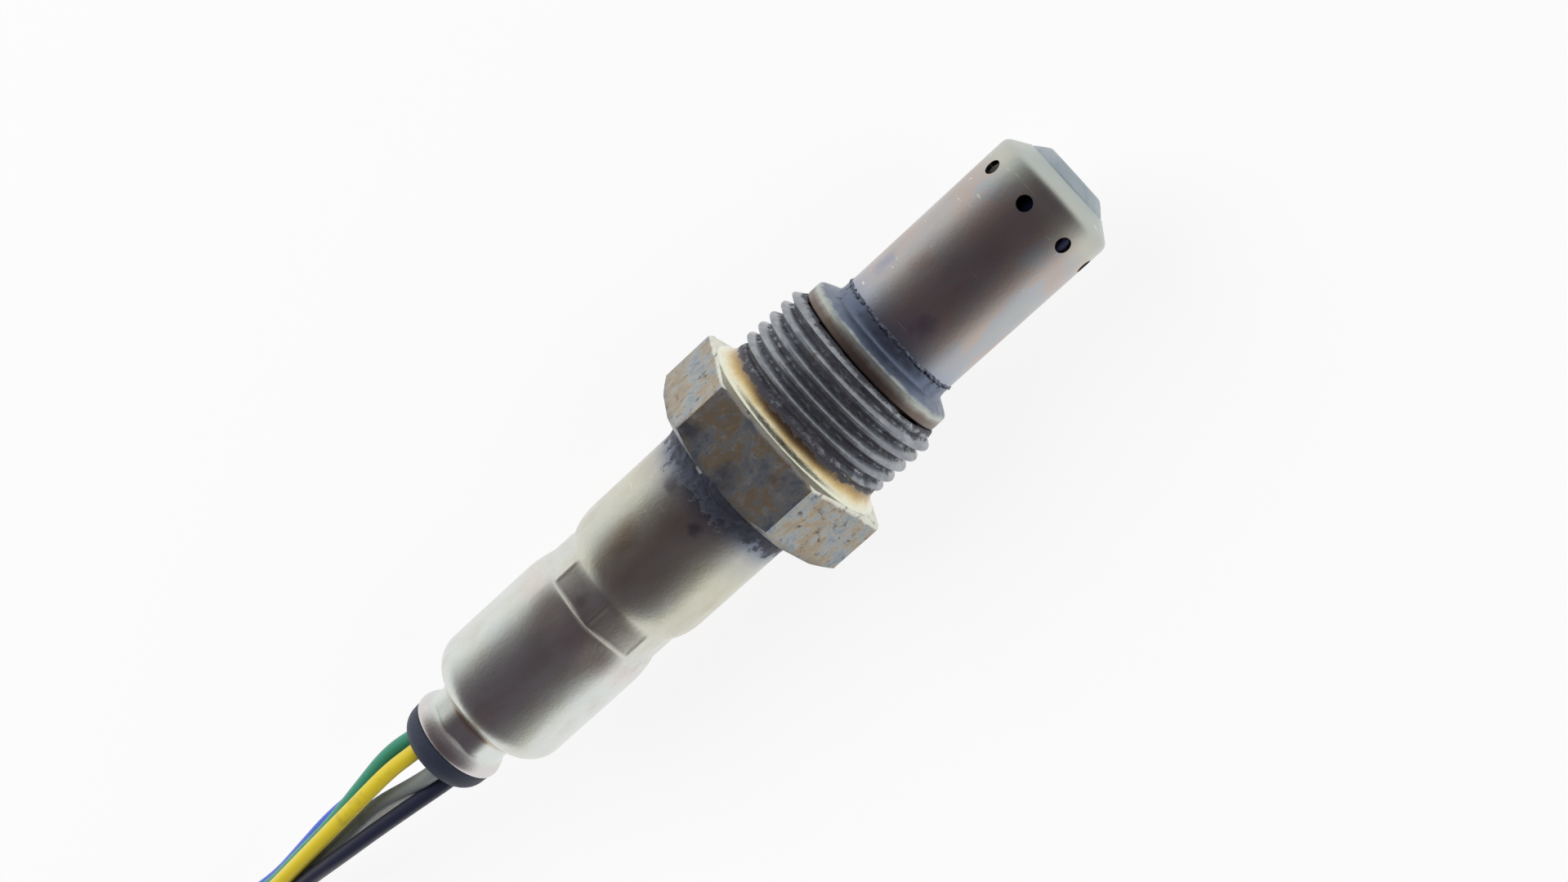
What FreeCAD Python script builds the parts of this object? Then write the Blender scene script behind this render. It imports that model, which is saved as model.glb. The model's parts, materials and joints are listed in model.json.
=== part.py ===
# Exhaust gas sensor probe with a captive hexagon screw and six leads.
# Millimetres. +X runs along the probe to its perforated tip and +Z is up.
# The origin is on the axis, at the middle of the screw's thread.
import FreeCAD, Part
import math
import os
import Sketcher
from FreeCAD import Placement, Rotation, Vector

doc = FreeCAD.newDocument("exhaust_gas_sensor")

# Driving dimensions: alias, value, what it is
SIZES = [
    ("across_flats", 22.0, "hexagon, across flats"),
    ("hex_length", 6.9, "hexagon, along the axis"),
    ("hex_chamfer_length", 0.8, "rear chamfer at the corners, along the axis"),
    ("hex_chamfer_drop", 1.4, "rear chamfer at the corners, in radius"),
    ("flange_radius", 10.3, "raised flange on the front of the hexagon"),
    ("flange_length", 1.5, "raised flange, along the axis"),
    ("flange_round", 0.6, "round at the flange's edge"),
    ("thread_radius", 10.0, "outside of the M20 x 1.5 thread"),
    ("thread_length", 7.7, "full thread"),
    ("screw_nose_length", 0.8, "chamfered start of the thread"),
    ("screw_nose_radius", 8.95, "front face of the screw"),
    ("turning_clearance", 0.1, "screw bore to sleeve, in radius"),
    ("screw_play", 0.2, "slit between screw and collar"),
    ("collar_radius", 8.9, "sealing collar"),
    ("collar_length", 1.5, "sealing collar, cylinder"),
    ("collar_slope", 0.8, "sealing cone in front of the collar, along the axis"),
    ("neck_radius", 7.0, "neck between collar and tube"),
    ("neck_length", 1.6, "neck between collar and tube"),
    ("spigot_length", 2.75, "spigot inside the outer tube"),
    ("housing_bore_radius", 4.75, "bore for the ceramics"),
    ("housing_mouth_radius", 3.2, "front opening of the housing"),
    ("housing_step", 3.5, "depth from the spigot's face to the bore's shoulder"),
    ("rim_radius", 4.1, "curled rear rim, inside"),
    ("rim_length", 1.2, "curled rear rim, along the axis"),
    ("outer_tube_radius", 6.97, "outer protection tube"),
    ("outer_tube_length", 19.8, "outer protection tube, cylinder"),
    ("outer_cone_length", 1.4, "coned end of the outer tube"),
    ("outer_tube_wall", 0.5, "wall of the outer tube"),
    ("outer_tube_round", 0.5, "round where the cone starts"),
    ("inner_tube_radius", 4.8, "inner protection tube"),
    ("inner_tube_wall", 0.4, "wall of the inner tube"),
    ("nose_length", 1.1, "coned nose of the inner tube"),
    ("nose_radius", 3.35, "flat end of the nose"),
    ("gas_hole_diameter", 1.6, "gas holes in the outer tube"),
    ("gas_hole_count", 8, "gas holes in the outer tube"),
    ("gas_hole_inset", 2.65, "gas holes behind the cone's start"),
    ("gas_hole_turn", -4.0, "turn of the outer tube about the axis, degrees"),
    ("inlet_hole_diameter", 1.5, "holes in the inner tube"),
    ("inlet_hole_count", 6, "holes in the inner tube"),
    ("inlet_hole_inset", 3.2, "holes in front of the inner tube's flange"),
    ("front_ceramic_length", 4.5, "front support ceramic"),
    ("talc_length", 5.5, "pressed talc"),
    ("rear_ceramic_length", 12.0, "rear support ceramic"),
    ("retaining_ring_length", 1.3, "ring under the curled rim"),
    ("retaining_ring_bore", 3.0, "ring, inside radius"),
    ("element_width", 4.2, "sensing strip, across"),
    ("element_thickness", 1.35, "sensing strip, through"),
    ("element_length", 65.0, "sensing strip"),
    ("element_inset", 5.5, "strip's tip behind the nose"),
    ("element_fit", 0.1, "strip to ceramic slot, each side"),
    ("sleeve_radius", 8.0, "front of the protective sleeve"),
    ("sleeve_wall", 0.5, "wall of the sleeve"),
    ("sleeve_setback", 2.85, "sleeve's front edge behind the collar"),
    ("bead_setback", 0.25, "weld bead behind the hexagon"),
    ("bead_ramp", 0.5, "side of the weld bead"),
    ("bead_width", 0.8, "top of the weld bead"),
    ("bead_height", 0.22, "weld bead above the sleeve"),
    ("sleeve_length", 15.1, "sleeve from the hexagon to the waist's taper"),
    ("waist_taper", 2.1, "taper down to the waist"),
    ("taper_round", 4.0, "round where the taper starts"),
    ("waist_length", 2.8, "crimped waist"),
    ("waist_ridge_radius", 7.28, "ridges that the crimping jaws leave"),
    ("ridge_run", 0.8, "run-out of the ridges towards the taper"),
    ("waist_floor_radius", 7.05, "floor of each jaw mark"),
    ("waist_jaw_radius", 12.0, "radius of a jaw's face"),
    ("waist_jaw_count", 8, "jaws at the waist"),
    ("waist_jaw_turn", 28.5, "turn of the sleeve and its jaw marks, degrees"),
    ("barrel_radius", 7.85, "rear barrel"),
    ("barrel_start_radius", 7.35, "step at the barrel's front"),
    ("barrel_rise", 2.5, "rounded front shoulder of the barrel"),
    ("barrel_length", 14.25, "barrel from its full radius to its rear face"),
    ("barrel_round", 2.9, "rear shoulder's round"),
    ("neck_end_radius", 4.86, "crimped rear neck"),
    ("neck_end_length", 2.8, "crimped rear neck"),
    ("neck_floor_radius", 4.62, "floor of each jaw mark on the rear neck"),
    ("neck_jaw_radius", 8.0, "radius of a small jaw's face"),
    ("neck_jaw_count", 8, "jaws at the rear neck"),
    ("lip_length", 0.6, "each of the lip's three steps"),
    ("lip_rise_radius", 5.26, "lip, front step"),
    ("lip_peak_radius", 5.43, "lip, highest"),
    ("lip_end_radius", 5.27, "lip, rear edge"),
    ("lip_bore_radius", 4.85, "lip, inside"),
    ("holder_radius", 6.55, "contact holder"),
    ("holder_length", 16.0, "contact holder"),
    ("holder_lead", 3.95, "contact holder in front of the waist"),
    ("holder_slot_width", 4.9, "space for the strip and contacts, across"),
    ("holder_slot_height", 2.2, "space for the strip and contacts, through"),
    ("clip_thickness", 0.45, "spring band round the contact holder"),
    ("clip_length", 4.0, "spring band"),
    ("clip_setback", 9.5, "spring band behind the holder's front"),
    ("clip_gap", 3.0, "open gap of the spring band"),
    ("contact_thickness", 0.35, "contact strip, through"),
    ("contact_width", 0.9, "contact strip, across"),
    ("contact_pitch", 1.4, "contact to contact"),
    ("contact_length", 12.0, "contact strip inside the holder"),
    ("contact_gap", 0.3, "free gap at the contacts and the grommet"),
    ("crimp_length", 3.6, "crimp on a lead"),
    ("crimp_wall", 0.25, "wall of a crimp"),
    ("wire_diameter", 1.7, "each lead"),
    ("wire_ring", 2.9, "leads round the axis, radius"),
    ("grommet_radius", 6.0, "grommet inside the barrel"),
    ("grommet_relief", 0.6, "chamfer of the grommet's inner part"),
    ("grommet_cap_radius", 5.2, "grommet behind the lip"),
    ("grommet_cap_length", 1.2, "grommet behind the lip, cylinder"),
    ("grommet_slope_length", 1.2, "grommet's coned end"),
    ("grommet_end_radius", 4.1, "grommet's coned end, smallest"),
    ("grommet_end_length", 0.4, "grommet's last disc"),
    ("hank_front", -98.8, "hank, front end along X"),
    ("hank_length", 84.2, "hank, along X"),
    ("hank_width", 28.2, "hank, across"),
    ("hank_height", 5.2, "hank, three leads high"),
    ("hank_side", -1.4, "hank's middle along Y"),
    ("hank_round", 1.4, "hank's rounded edges"),
    ("tie_thickness", 0.8, "cable tie's band"),
    ("tie_width", 2.5, "cable tie's band"),
    ("tie_front_place", 25.2, "front tie, from the hank's middle"),
    ("tie_rear_place", -29.2, "rear tie, from the hank's middle"),
    ("tie_head_length", 4.2, "tie's head, along the hank"),
    ("tie_head_width", 5.0, "tie's head, across"),
    ("tie_head_height", 2.4, "tie's head"),
    ("tie_head_place", 8.5, "tie's head, from the hank's middle line"),
    ("connector_length", 24.0, "connector"),
    ("connector_width", 16.0, "connector"),
    ("connector_height", 10.5, "connector"),
    ("connector_place", -2.6, "connector's wire side, from the hank's middle"),
    ("connector_round", 1.2, "connector's long edges"),
    ("connector_seat", 0.1, "connector's running gap above the hank"),
    ("cavity_size", 2.5, "cavity for one terminal"),
    ("cavity_pitch", 3.9, "cavity to cavity, across"),
    ("cavity_row", 4.0, "cavity row to cavity row"),
    ("seal_width", 13.0, "wire seal"),
    ("seal_height", 8.0, "wire seal"),
    ("seal_depth", 4.0, "wire seal, along the leads"),
    ("wedge_depth", 1.6, "terminal lock in the connector's face"),
    ("wedge_hole", 0.9, "hole for one pin"),
    ("ring_seal_size", 0.6, "ring seal above the connector's front"),
    ("ring_seal_length", 3.0, "ring seal"),
    ("ring_seal_inset", 5.4, "ring seal behind the connector's face"),
    ("latch_width", 6.0, "latch arm"),
    ("latch_length", 15.0, "latch arm"),
    ("latch_thickness", 1.1, "latch arm"),
    ("latch_gap", 1.0, "room under the latch arm"),
    ("latch_foot", 2.4, "foot of the latch arm"),
    ("terminal_size", 1.9, "terminal's box"),
    ("terminal_length", 12.5, "terminal's box"),
]

sheet = doc.addObject("Spreadsheet::Sheet", "sizes")
for row, (alias, value, meaning) in enumerate(SIZES, 1):
    sheet.set(f"A{row}", alias)
    sheet.set(f"B{row}", str(value))
    sheet.set(f"C{row}", meaning)
    sheet.setAlias(f"B{row}", alias)
doc.recompute()


def of(*names):
    """The sum of the named sizes, as an expression. A name that starts with - is taken away."""
    text = ""
    for name in names:
        sign = "-" if name.startswith("-") else "+"
        text += f" {sign} sizes.{name.lstrip('-')}"
    return "(" + text.strip(" +") + ")"


def plus(base, *names):
    """A station further along: the base expression and the named sizes."""
    return f"({base} + {of(*names)})"


def size(expression):
    """The value of an expression on the sheet's sizes."""
    value = sheet.evalExpression(expression)
    return float(getattr(value, "Value", value))


# Stations along X, from the thread's middle forwards
THREAD_FRONT = "(sizes.thread_length / 2)"
THREAD_REAR = "(0 - sizes.thread_length / 2)"
SCREW_FRONT = plus(THREAD_FRONT, "screw_nose_length")
COLLAR_REAR = plus(SCREW_FRONT, "screw_play")
COLLAR_EDGE = plus(COLLAR_REAR, "collar_length")
COLLAR_FRONT = plus(COLLAR_EDGE, "collar_slope")
SEAM = plus(COLLAR_FRONT, "neck_length")
SPIGOT_FRONT = plus(SEAM, "spigot_length")
TUBE_SHOULDER = plus(SEAM, "outer_tube_length")
TUBE_END = plus(TUBE_SHOULDER, "outer_cone_length")
NOSE_END = plus(TUBE_END, "nose_length")
GAS_HOLES = plus(TUBE_SHOULDER, "-gas_hole_inset")
BORE_SHOULDER = plus(SPIGOT_FRONT, "-housing_step")
TALC_FRONT = plus(BORE_SHOULDER, "-front_ceramic_length")
TALC_REAR = plus(TALC_FRONT, "-talc_length")
RING_FRONT = plus(TALC_REAR, "-rear_ceramic_length")
RING_REAR = plus(RING_FRONT, "-retaining_ring_length")
HOUSING_REAR = plus(RING_REAR, "-rim_length")
ELEMENT_FRONT = plus(NOSE_END, "-element_inset")

# Stations along X, from the thread's middle backwards
FLANGE_REAR = plus(THREAD_REAR, "-flange_length")
HEX_REAR = plus(FLANGE_REAR, "-hex_length")
SLEEVE_FRONT = plus(COLLAR_REAR, "-sleeve_setback")
BEAD_FRONT = plus(HEX_REAR, "-bead_setback")
BEAD_REAR = plus(BEAD_FRONT, "-bead_ramp", "-bead_width")
TAPER_FRONT = plus(HEX_REAR, "-sleeve_length")
WAIST_FRONT = plus(TAPER_FRONT, "-waist_taper")
WAIST_REAR = plus(WAIST_FRONT, "-waist_length")
BARREL_FRONT = plus(WAIST_REAR, "-barrel_rise")
BARREL_REAR = plus(BARREL_FRONT, "-barrel_length")
BARREL_INSIDE = plus(BARREL_REAR, "sleeve_wall")
NECK_REAR = plus(BARREL_REAR, "-neck_end_length")
LIP_RISE = plus(NECK_REAR, "-lip_length")
LIP_PEAK = plus(LIP_RISE, "-lip_length")
LIP_END = plus(LIP_PEAK, "-lip_length")
HOLDER_FRONT = plus(WAIST_FRONT, "holder_lead")
HOLDER_REAR = plus(HOLDER_FRONT, "-holder_length")
CLIP_FRONT = plus(HOLDER_FRONT, "-clip_setback")
RISER_FRONT = plus(HOLDER_REAR, "-contact_gap")
RISER_REAR = plus(RISER_FRONT, "-contact_thickness")
CRIMP_REAR = plus(RISER_REAR, "-crimp_length")
GROMMET_FRONT = plus(CRIMP_REAR, "-contact_gap")
CAP_REAR = plus(LIP_END, "-grommet_cap_length")
SLOPE_REAR = plus(CAP_REAR, "-grommet_slope_length")
GROMMET_REAR = plus(SLOPE_REAR, "-grommet_end_length")

FLOOR = "(0 - sizes.across_flats / 2)"
HOUSING_BODY_RADIUS = of("sleeve_radius", "-sleeve_wall")
TUBE_BORE_RADIUS = of("outer_tube_radius", "-outer_tube_wall")
WIRE_RADIUS = "(sizes.wire_diameter / 2)"

# Stations of the hank and the connector
HANK_MIDDLE = "(sizes.hank_front - sizes.hank_length / 2)"
HANK_LOW = plus(FLOOR, "tie_thickness")
HANK_TOP = plus(HANK_LOW, "hank_height")
CONNECTOR_REAR = f"({HANK_MIDDLE} + sizes.connector_place)"
CONNECTOR_FACE = plus(CONNECTOR_REAR, "-connector_length")
CONNECTOR_LOW = plus(HANK_TOP, "connector_seat")
CONNECTOR_AXIS = f"({CONNECTOR_LOW} + sizes.connector_height / 2)"
SEAL_FRONT = plus(CONNECTOR_REAR, "-seal_depth")
WEDGE_REAR = plus(CONNECTOR_FACE, "wedge_depth")
TERMINAL_FRONT = plus(WEDGE_REAR, "contact_gap")
TERMINAL_REAR = plus(TERMINAL_FRONT, "terminal_length")

parts = {}


def keep(name, piece):
    """Name a finished sub-part."""
    piece.Label = name
    parts[name] = piece
    return piece


def origin_feature(body, role):
    return next(item for item in body.Origin.OriginFeatures if item.Role == role)


def new_body(name):
    return doc.addObject("PartDesign::Body", name + "_body")


def new_sketch(body, name, plane, offset=None):
    """A sketch on one of the body's own planes, moved along its normal by an expression."""
    sketch = body.newObject("Sketcher::SketchObject", name)
    sketch.AttachmentSupport = [(origin_feature(body, plane), "")]
    sketch.MapMode = "FlatFace"
    if offset:
        sketch.setExpression("AttachmentOffset.Base.z", offset)
    return sketch


def add_outline(sketch, points):
    """A closed outline whose corners are pairs of expressions."""
    corners = [Vector(size(x), size(y), 0) for x, y in points]
    first = sketch.GeometryCount
    count = len(corners)
    for index in range(count):
        sketch.addGeometry(Part.LineSegment(corners[index], corners[(index + 1) % count]), False)
    for index in range(count):
        following = first + (index + 1) % count
        sketch.addConstraint(Sketcher.Constraint("Coincident", first + index, 2, following, 1))
    for index, (x, y) in enumerate(points):
        line = first + index
        corner = corners[index]
        for kind, expression, value in (("DistanceX", x, corner.x), ("DistanceY", y, corner.y)):
            number = sketch.addConstraint(Sketcher.Constraint(kind, -1, 1, line, 1, value))
            sketch.setExpression(f"Constraints[{number}]", expression)


def add_circle(sketch, x, y, radius):
    """A circle whose centre and radius are expressions."""
    centre = Vector(size(x), size(y), 0)
    circle = sketch.addGeometry(Part.Circle(centre, Vector(0, 0, 1), size(radius)), False)
    for kind, expression, value in (("DistanceX", x, centre.x), ("DistanceY", y, centre.y)):
        number = sketch.addConstraint(Sketcher.Constraint(kind, -1, 1, circle, 3, value))
        sketch.setExpression(f"Constraints[{number}]", expression)
    number = sketch.addConstraint(Sketcher.Constraint("Radius", circle, size(radius)))
    sketch.setExpression(f"Constraints[{number}]", radius)


def turned(body, name, points, kind="Revolution"):
    """A profile in the XY plane turned about the probe's axis: Revolution adds, Groove cuts."""
    sketch = new_sketch(body, name + "_profile", "XY_Plane")
    add_outline(sketch, points)
    before = body.Shape.Volume if kind == "Groove" else 0
    feature = body.newObject("PartDesign::" + kind, name)
    feature.Profile = sketch
    feature.ReferenceAxis = (sketch, ["H_Axis"])
    feature.Angle = 360
    doc.recompute()
    if kind == "Groove" and feature.Shape.Volume >= before:
        raise ValueError(name + " cuts nothing")
    return feature


def rounded(body, name, rings, radius):
    """Fillet the round edges at the given stations and radii."""
    base = body.Tip
    edges = []
    for station, ring_radius in rings:
        for number, edge in enumerate(base.Shape.Edges, 1):
            curve = edge.Curve
            if not isinstance(curve, Part.Circle) or len(edge.Vertexes) > 1:
                continue
            off = abs(curve.Center.x - size(station)) + abs(curve.Radius - size(ring_radius))
            if off < 1e-4:
                edges.append(f"Edge{number}")
    if not edges:
        raise ValueError(name + " found no edge")
    fillet = body.newObject("PartDesign::Fillet", name)
    fillet.Base = (base, edges)
    fillet.setExpression("Radius", radius)
    doc.recompute()
    return fillet


def ring_of_cuts(body, name, pocket, count):
    """Repeat a pocket round the probe's axis."""
    pattern = body.newObject("PartDesign::PolarPattern", name)
    pattern.Originals = [pocket]
    pattern.Axis = (origin_feature(body, "X_Axis"), [""])
    pattern.Angle = 360
    pattern.setExpression("Occurrences", count)
    body.Tip = pattern
    before = pocket.Shape.Volume
    doc.recompute()
    if size(count) > 1 and pattern.Shape.Volume >= before:
        raise ValueError(name + " repeats nothing")
    return pattern


def radial_holes(body, name, station, diameter, reach, count):
    """Round holes through a tube's wall, spaced evenly about the axis."""
    sketch = new_sketch(body, name + "_circle", "XY_Plane")
    add_circle(sketch, station, "0", f"{diameter} / 2")
    before = body.Shape.Volume
    pocket = body.newObject("PartDesign::Pocket", name + "_first")
    pocket.Profile = sketch
    pocket.Reversed = True
    pocket.setExpression("Length", f"{reach} + 1")
    doc.recompute()
    if pocket.Shape.Volume >= before:
        raise ValueError(name + " cuts nothing")
    return ring_of_cuts(body, name, pocket, count)


def jaw_marks(body, name, front, length, jaw_radius, floor_radius, reach, count):
    """Shallow marks of crimping jaws: each jaw face is an arc flatter than the sleeve."""
    sketch = new_sketch(body, name + "_jaw", "YZ_Plane", front)
    half_width = f"({reach} * tan(180 deg / {count}))"
    centre = size(f"{floor_radius} - {jaw_radius}")
    spread = math.asin(size(half_width) / size(jaw_radius))
    start, end = math.pi / 2 - spread, math.pi / 2 + spread
    arc = Part.ArcOfCircle(Part.Circle(Vector(0, centre, 0), Vector(0, 0, 1), size(jaw_radius)), start, end)
    right, left = arc.StartPoint, arc.EndPoint
    top = size(reach) + 1
    sketch.addGeometry(arc, False)
    corners = [right, Vector(right.x, top, 0), Vector(left.x, top, 0), left]
    for near, far in zip(corners, corners[1:]):
        sketch.addGeometry(Part.LineSegment(near, far), False)
    rules = [
        ("Coincident", 0, 1, 1, 1),
        ("Coincident", 1, 2, 2, 1),
        ("Coincident", 2, 2, 3, 1),
        ("Coincident", 3, 2, 0, 2),
        ("Vertical", 1),
        ("Vertical", 3),
        ("Horizontal", 2),
        ("PointOnObject", 0, 3, -2),
    ]
    for rule in rules:
        sketch.addConstraint(Sketcher.Constraint(*rule))
    measured = [
        (("DistanceY", 0, 3, -1, 1), f"{jaw_radius} - {floor_radius}"),
        (("Radius", 0), jaw_radius),
        (("DistanceX", 0, 2, 0, 1), f"2 * {half_width}"),
        (("DistanceY", -1, 1, 1, 2), f"{reach} + 1"),
    ]
    for rule, expression in measured:
        number = sketch.addConstraint(Sketcher.Constraint(*rule, size(expression)))
        sketch.setExpression(f"Constraints[{number}]", expression)
    before = body.Shape.Volume
    pocket = body.newObject("PartDesign::Pocket", name + "_first")
    pocket.Profile = sketch
    pocket.Reversed = True
    pocket.setExpression("Length", length)
    doc.recompute()
    if pocket.Shape.Volume >= before:
        raise ValueError(name + " cuts nothing")
    return ring_of_cuts(body, name, pocket, count)


def axial_cylinder(name, start, length, radius):
    """A cylinder along X."""
    rod = doc.addObject("Part::Cylinder", name)
    rod.Placement = Placement(Vector(), Rotation(Vector(0, 1, 0), 90))
    rod.setExpression("Placement.Base.x", start)
    rod.setExpression("Height", length)
    rod.setExpression("Radius", radius)
    return rod


def block(name, corner, sides):
    """A box given by its lowest corner and its sides, all expressions."""
    box = doc.addObject("Part::Box", name)
    for axis, expression in zip("xyz", corner):
        box.setExpression("Placement.Base." + axis, expression)
    for side, expression in zip(("Length", "Width", "Height"), sides):
        box.setExpression(side, expression)
    return box


def cut(name, base, *tools):
    """The base without the tools."""
    tool = tools[0] if len(tools) == 1 else fuse(name + "_tools", *tools)
    result = doc.addObject("Part::Cut", name)
    result.Base = base
    result.Tool = tool
    return result


def fuse(name, *pieces):
    result = doc.addObject("Part::MultiFuse", name)
    result.Shapes = list(pieces)
    return result


def fixing_screw():
    """Hollow hexagon screw, free to turn on the sleeve. The thread's flanks are left off."""
    body = new_body("fixing_screw")
    across = "sizes.across_flats"
    half = f"({across} / 2)"
    corner = f"({across} / 2 / cos(30 deg))"
    side = f"({across} / 2 * tan(30 deg))"
    hexagon = new_sketch(body, "hexagon", "YZ_Plane", HEX_REAR)
    add_outline(hexagon, [
        (corner, "0"),
        (side, half),
        (f"0 - {side}", half),
        (f"0 - {corner}", "0"),
        (f"0 - {side}", f"0 - {half}"),
        (side, f"0 - {half}"),
    ])
    pad = body.newObject("PartDesign::Pad", "hexagon_pad")
    pad.Profile = hexagon
    pad.setExpression("Length", "sizes.hex_length")
    doc.recompute()
    inner = of("housing_bore_radius")
    turned(body, "thread_blank", [
        (plus(FLANGE_REAR, "-hex_chamfer_length"), inner),
        (plus(FLANGE_REAR, "-hex_chamfer_length"), of("thread_radius")),
        (FLANGE_REAR, of("thread_radius")),
        (FLANGE_REAR, of("flange_radius")),
        (plus(THREAD_REAR, "-flange_round"), of("flange_radius")),
        (THREAD_REAR, of("thread_radius")),
        (THREAD_FRONT, of("thread_radius")),
        (SCREW_FRONT, of("screw_nose_radius")),
        (SCREW_FRONT, inner),
    ])
    beyond = plus(corner, "hex_chamfer_drop")
    turned(body, "hexagon_chamfer", [
        (HEX_REAR, f"({corner} - sizes.hex_chamfer_drop)"),
        (plus(HEX_REAR, "hex_chamfer_length"), corner),
        (plus(HEX_REAR, "hex_chamfer_length"), beyond),
        (HEX_REAR, beyond),
    ], "Groove")
    bore = of("sleeve_radius", "turning_clearance")
    turned(body, "bore", [
        (plus(HEX_REAR, "-hex_chamfer_length"), "0"),
        (plus(SCREW_FRONT, "screw_nose_length"), "0"),
        (plus(SCREW_FRONT, "screw_nose_length"), bore),
        (plus(HEX_REAR, "-hex_chamfer_length"), bore),
    ], "Groove")
    keep("fixing_screw", body)


def sensor_housing():
    """Turned steel housing: collar with its sealing cone, neck, spigot, bore and curled rim."""
    body = new_body("sensor_housing")
    turned(body, "housing", [
        (SPIGOT_FRONT, of("housing_mouth_radius")),
        (SPIGOT_FRONT, TUBE_BORE_RADIUS),
        (SEAM, TUBE_BORE_RADIUS),
        (SEAM, of("neck_radius")),
        (COLLAR_FRONT, of("neck_radius")),
        (COLLAR_EDGE, of("collar_radius")),
        (COLLAR_REAR, of("collar_radius")),
        (COLLAR_REAR, HOUSING_BODY_RADIUS),
        (HOUSING_REAR, HOUSING_BODY_RADIUS),
        (HOUSING_REAR, of("rim_radius")),
        (RING_REAR, of("rim_radius")),
        (RING_REAR, of("housing_bore_radius")),
        (BORE_SHOULDER, of("housing_bore_radius")),
        (BORE_SHOULDER, of("housing_mouth_radius")),
    ])
    keep("sensor_housing", body)


def outer_protection_tube():
    """Perforated cap over the spigot. Its coned end is open for the inner tube's nose."""
    body = new_body("outer_protection_tube")
    drop = f"({of('outer_tube_radius')} - {of('inner_tube_radius')})"
    run = of("outer_cone_length")
    inside_shift = f"(sizes.outer_tube_wall * sqrt({run} * {run} + {drop} * {drop}) / {drop})"
    inside_end = f"({TUBE_END} - {inside_shift})"
    inside_drop = f"({TUBE_BORE_RADIUS} - {of('inner_tube_radius')})"
    inside_shoulder = f"({inside_end} - {inside_drop} * {run} / {drop})"
    turned(body, "outer_tube", [
        (SEAM, of("outer_tube_radius")),
        (TUBE_SHOULDER, of("outer_tube_radius")),
        (TUBE_END, of("inner_tube_radius")),
        (inside_end, of("inner_tube_radius")),
        (inside_shoulder, TUBE_BORE_RADIUS),
        (SEAM, TUBE_BORE_RADIUS),
    ])
    rounded(body, "tube_shoulder_round", [(TUBE_SHOULDER, of("outer_tube_radius"))], of("outer_tube_round"))
    radial_holes(
        body, "gas_holes", GAS_HOLES,
        "sizes.gas_hole_diameter", of("outer_tube_radius"), "sizes.gas_hole_count"
    )
    body.Placement = Placement(Vector(), Rotation(Vector(1, 0, 0), 1))
    body.setExpression("Placement.Rotation.Angle", "sizes.gas_hole_turn * 1 deg")
    keep("outer_protection_tube", body)


def inner_protection_tube():
    """Closed tube round the strip's tip, with a flange on the spigot's face."""
    body = new_body("inner_protection_tube")
    wall = "sizes.inner_tube_wall"
    inside = of("inner_tube_radius", "-inner_tube_wall")
    turned(body, "inner_tube", [
        (SPIGOT_FRONT, inside),
        (SPIGOT_FRONT, TUBE_BORE_RADIUS),
        (f"({SPIGOT_FRONT} + {wall})", TUBE_BORE_RADIUS),
        (f"({SPIGOT_FRONT} + {wall})", of("inner_tube_radius")),
        (TUBE_END, of("inner_tube_radius")),
        (NOSE_END, of("nose_radius")),
        (NOSE_END, "0"),
        (f"({NOSE_END} - {wall})", "0"),
        (f"({NOSE_END} - {wall})", of("nose_radius", "-inner_tube_wall")),
        (f"({TUBE_END} - {wall})", inside),
    ])
    radial_holes(
        body, "inlet_holes", plus(SPIGOT_FRONT, "inlet_hole_inset"), "sizes.inlet_hole_diameter",
        of("inner_tube_radius"), "sizes.inlet_hole_count"
    )
    keep("inner_protection_tube", body)


def strip_slot(name, start, length, fit):
    """The space of the sensing strip with a fit on each side."""
    width = f"(sizes.element_width + 2 * {fit})"
    thickness = f"(sizes.element_thickness + 2 * {fit})"
    corner = (start, f"0 - {width} / 2", f"0 - {thickness} / 2")
    return block(name, corner, (length, width, thickness))


def core_disc(name, rear, length, radius, fit):
    """A disc in the housing's bore with a slot for the sensing strip."""
    disc = axial_cylinder(name + "_blank", rear, length, radius)
    slot = strip_slot(name + "_slot", plus(rear, "-rim_length"), f"({length} + 2 * sizes.rim_length)", fit)
    keep(name, cut(name, disc, slot))


def sensing_core():
    """The zirconia strip and what holds and seals it in the housing."""
    strip = strip_slot("strip_blank", plus(ELEMENT_FRONT, "-element_length"), of("element_length"), "0")
    doc.recompute()
    chamfer = doc.addObject("Part::Chamfer", "sensing_element")
    chamfer.Base = strip
    front = size(ELEMENT_FRONT)
    bevel = size("sizes.element_thickness") / 4
    numbers = [
        number for number, edge in enumerate(strip.Shape.Edges, 1)
        if all(abs(corner.X - front) < 1e-6 for corner in edge.Vertexes)
    ]
    chamfer.Edges = [(number, bevel, bevel) for number in numbers]
    keep("sensing_element", chamfer)
    bore = of("housing_bore_radius")
    core_disc("front_ceramic_holder", TALC_FRONT, of("front_ceramic_length"), bore, "sizes.element_fit")
    core_disc("talc_seal", TALC_REAR, of("talc_length"), bore, "0")
    core_disc("rear_ceramic_holder", RING_FRONT, of("rear_ceramic_length"), bore, "sizes.element_fit")
    ring = axial_cylinder("ring_blank", RING_REAR, of("retaining_ring_length"), bore)
    hole = axial_cylinder("ring_bore", RING_REAR, of("retaining_ring_length"), of("retaining_ring_bore"))
    keep("retaining_ring", cut("retaining_ring", ring, hole))


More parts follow.
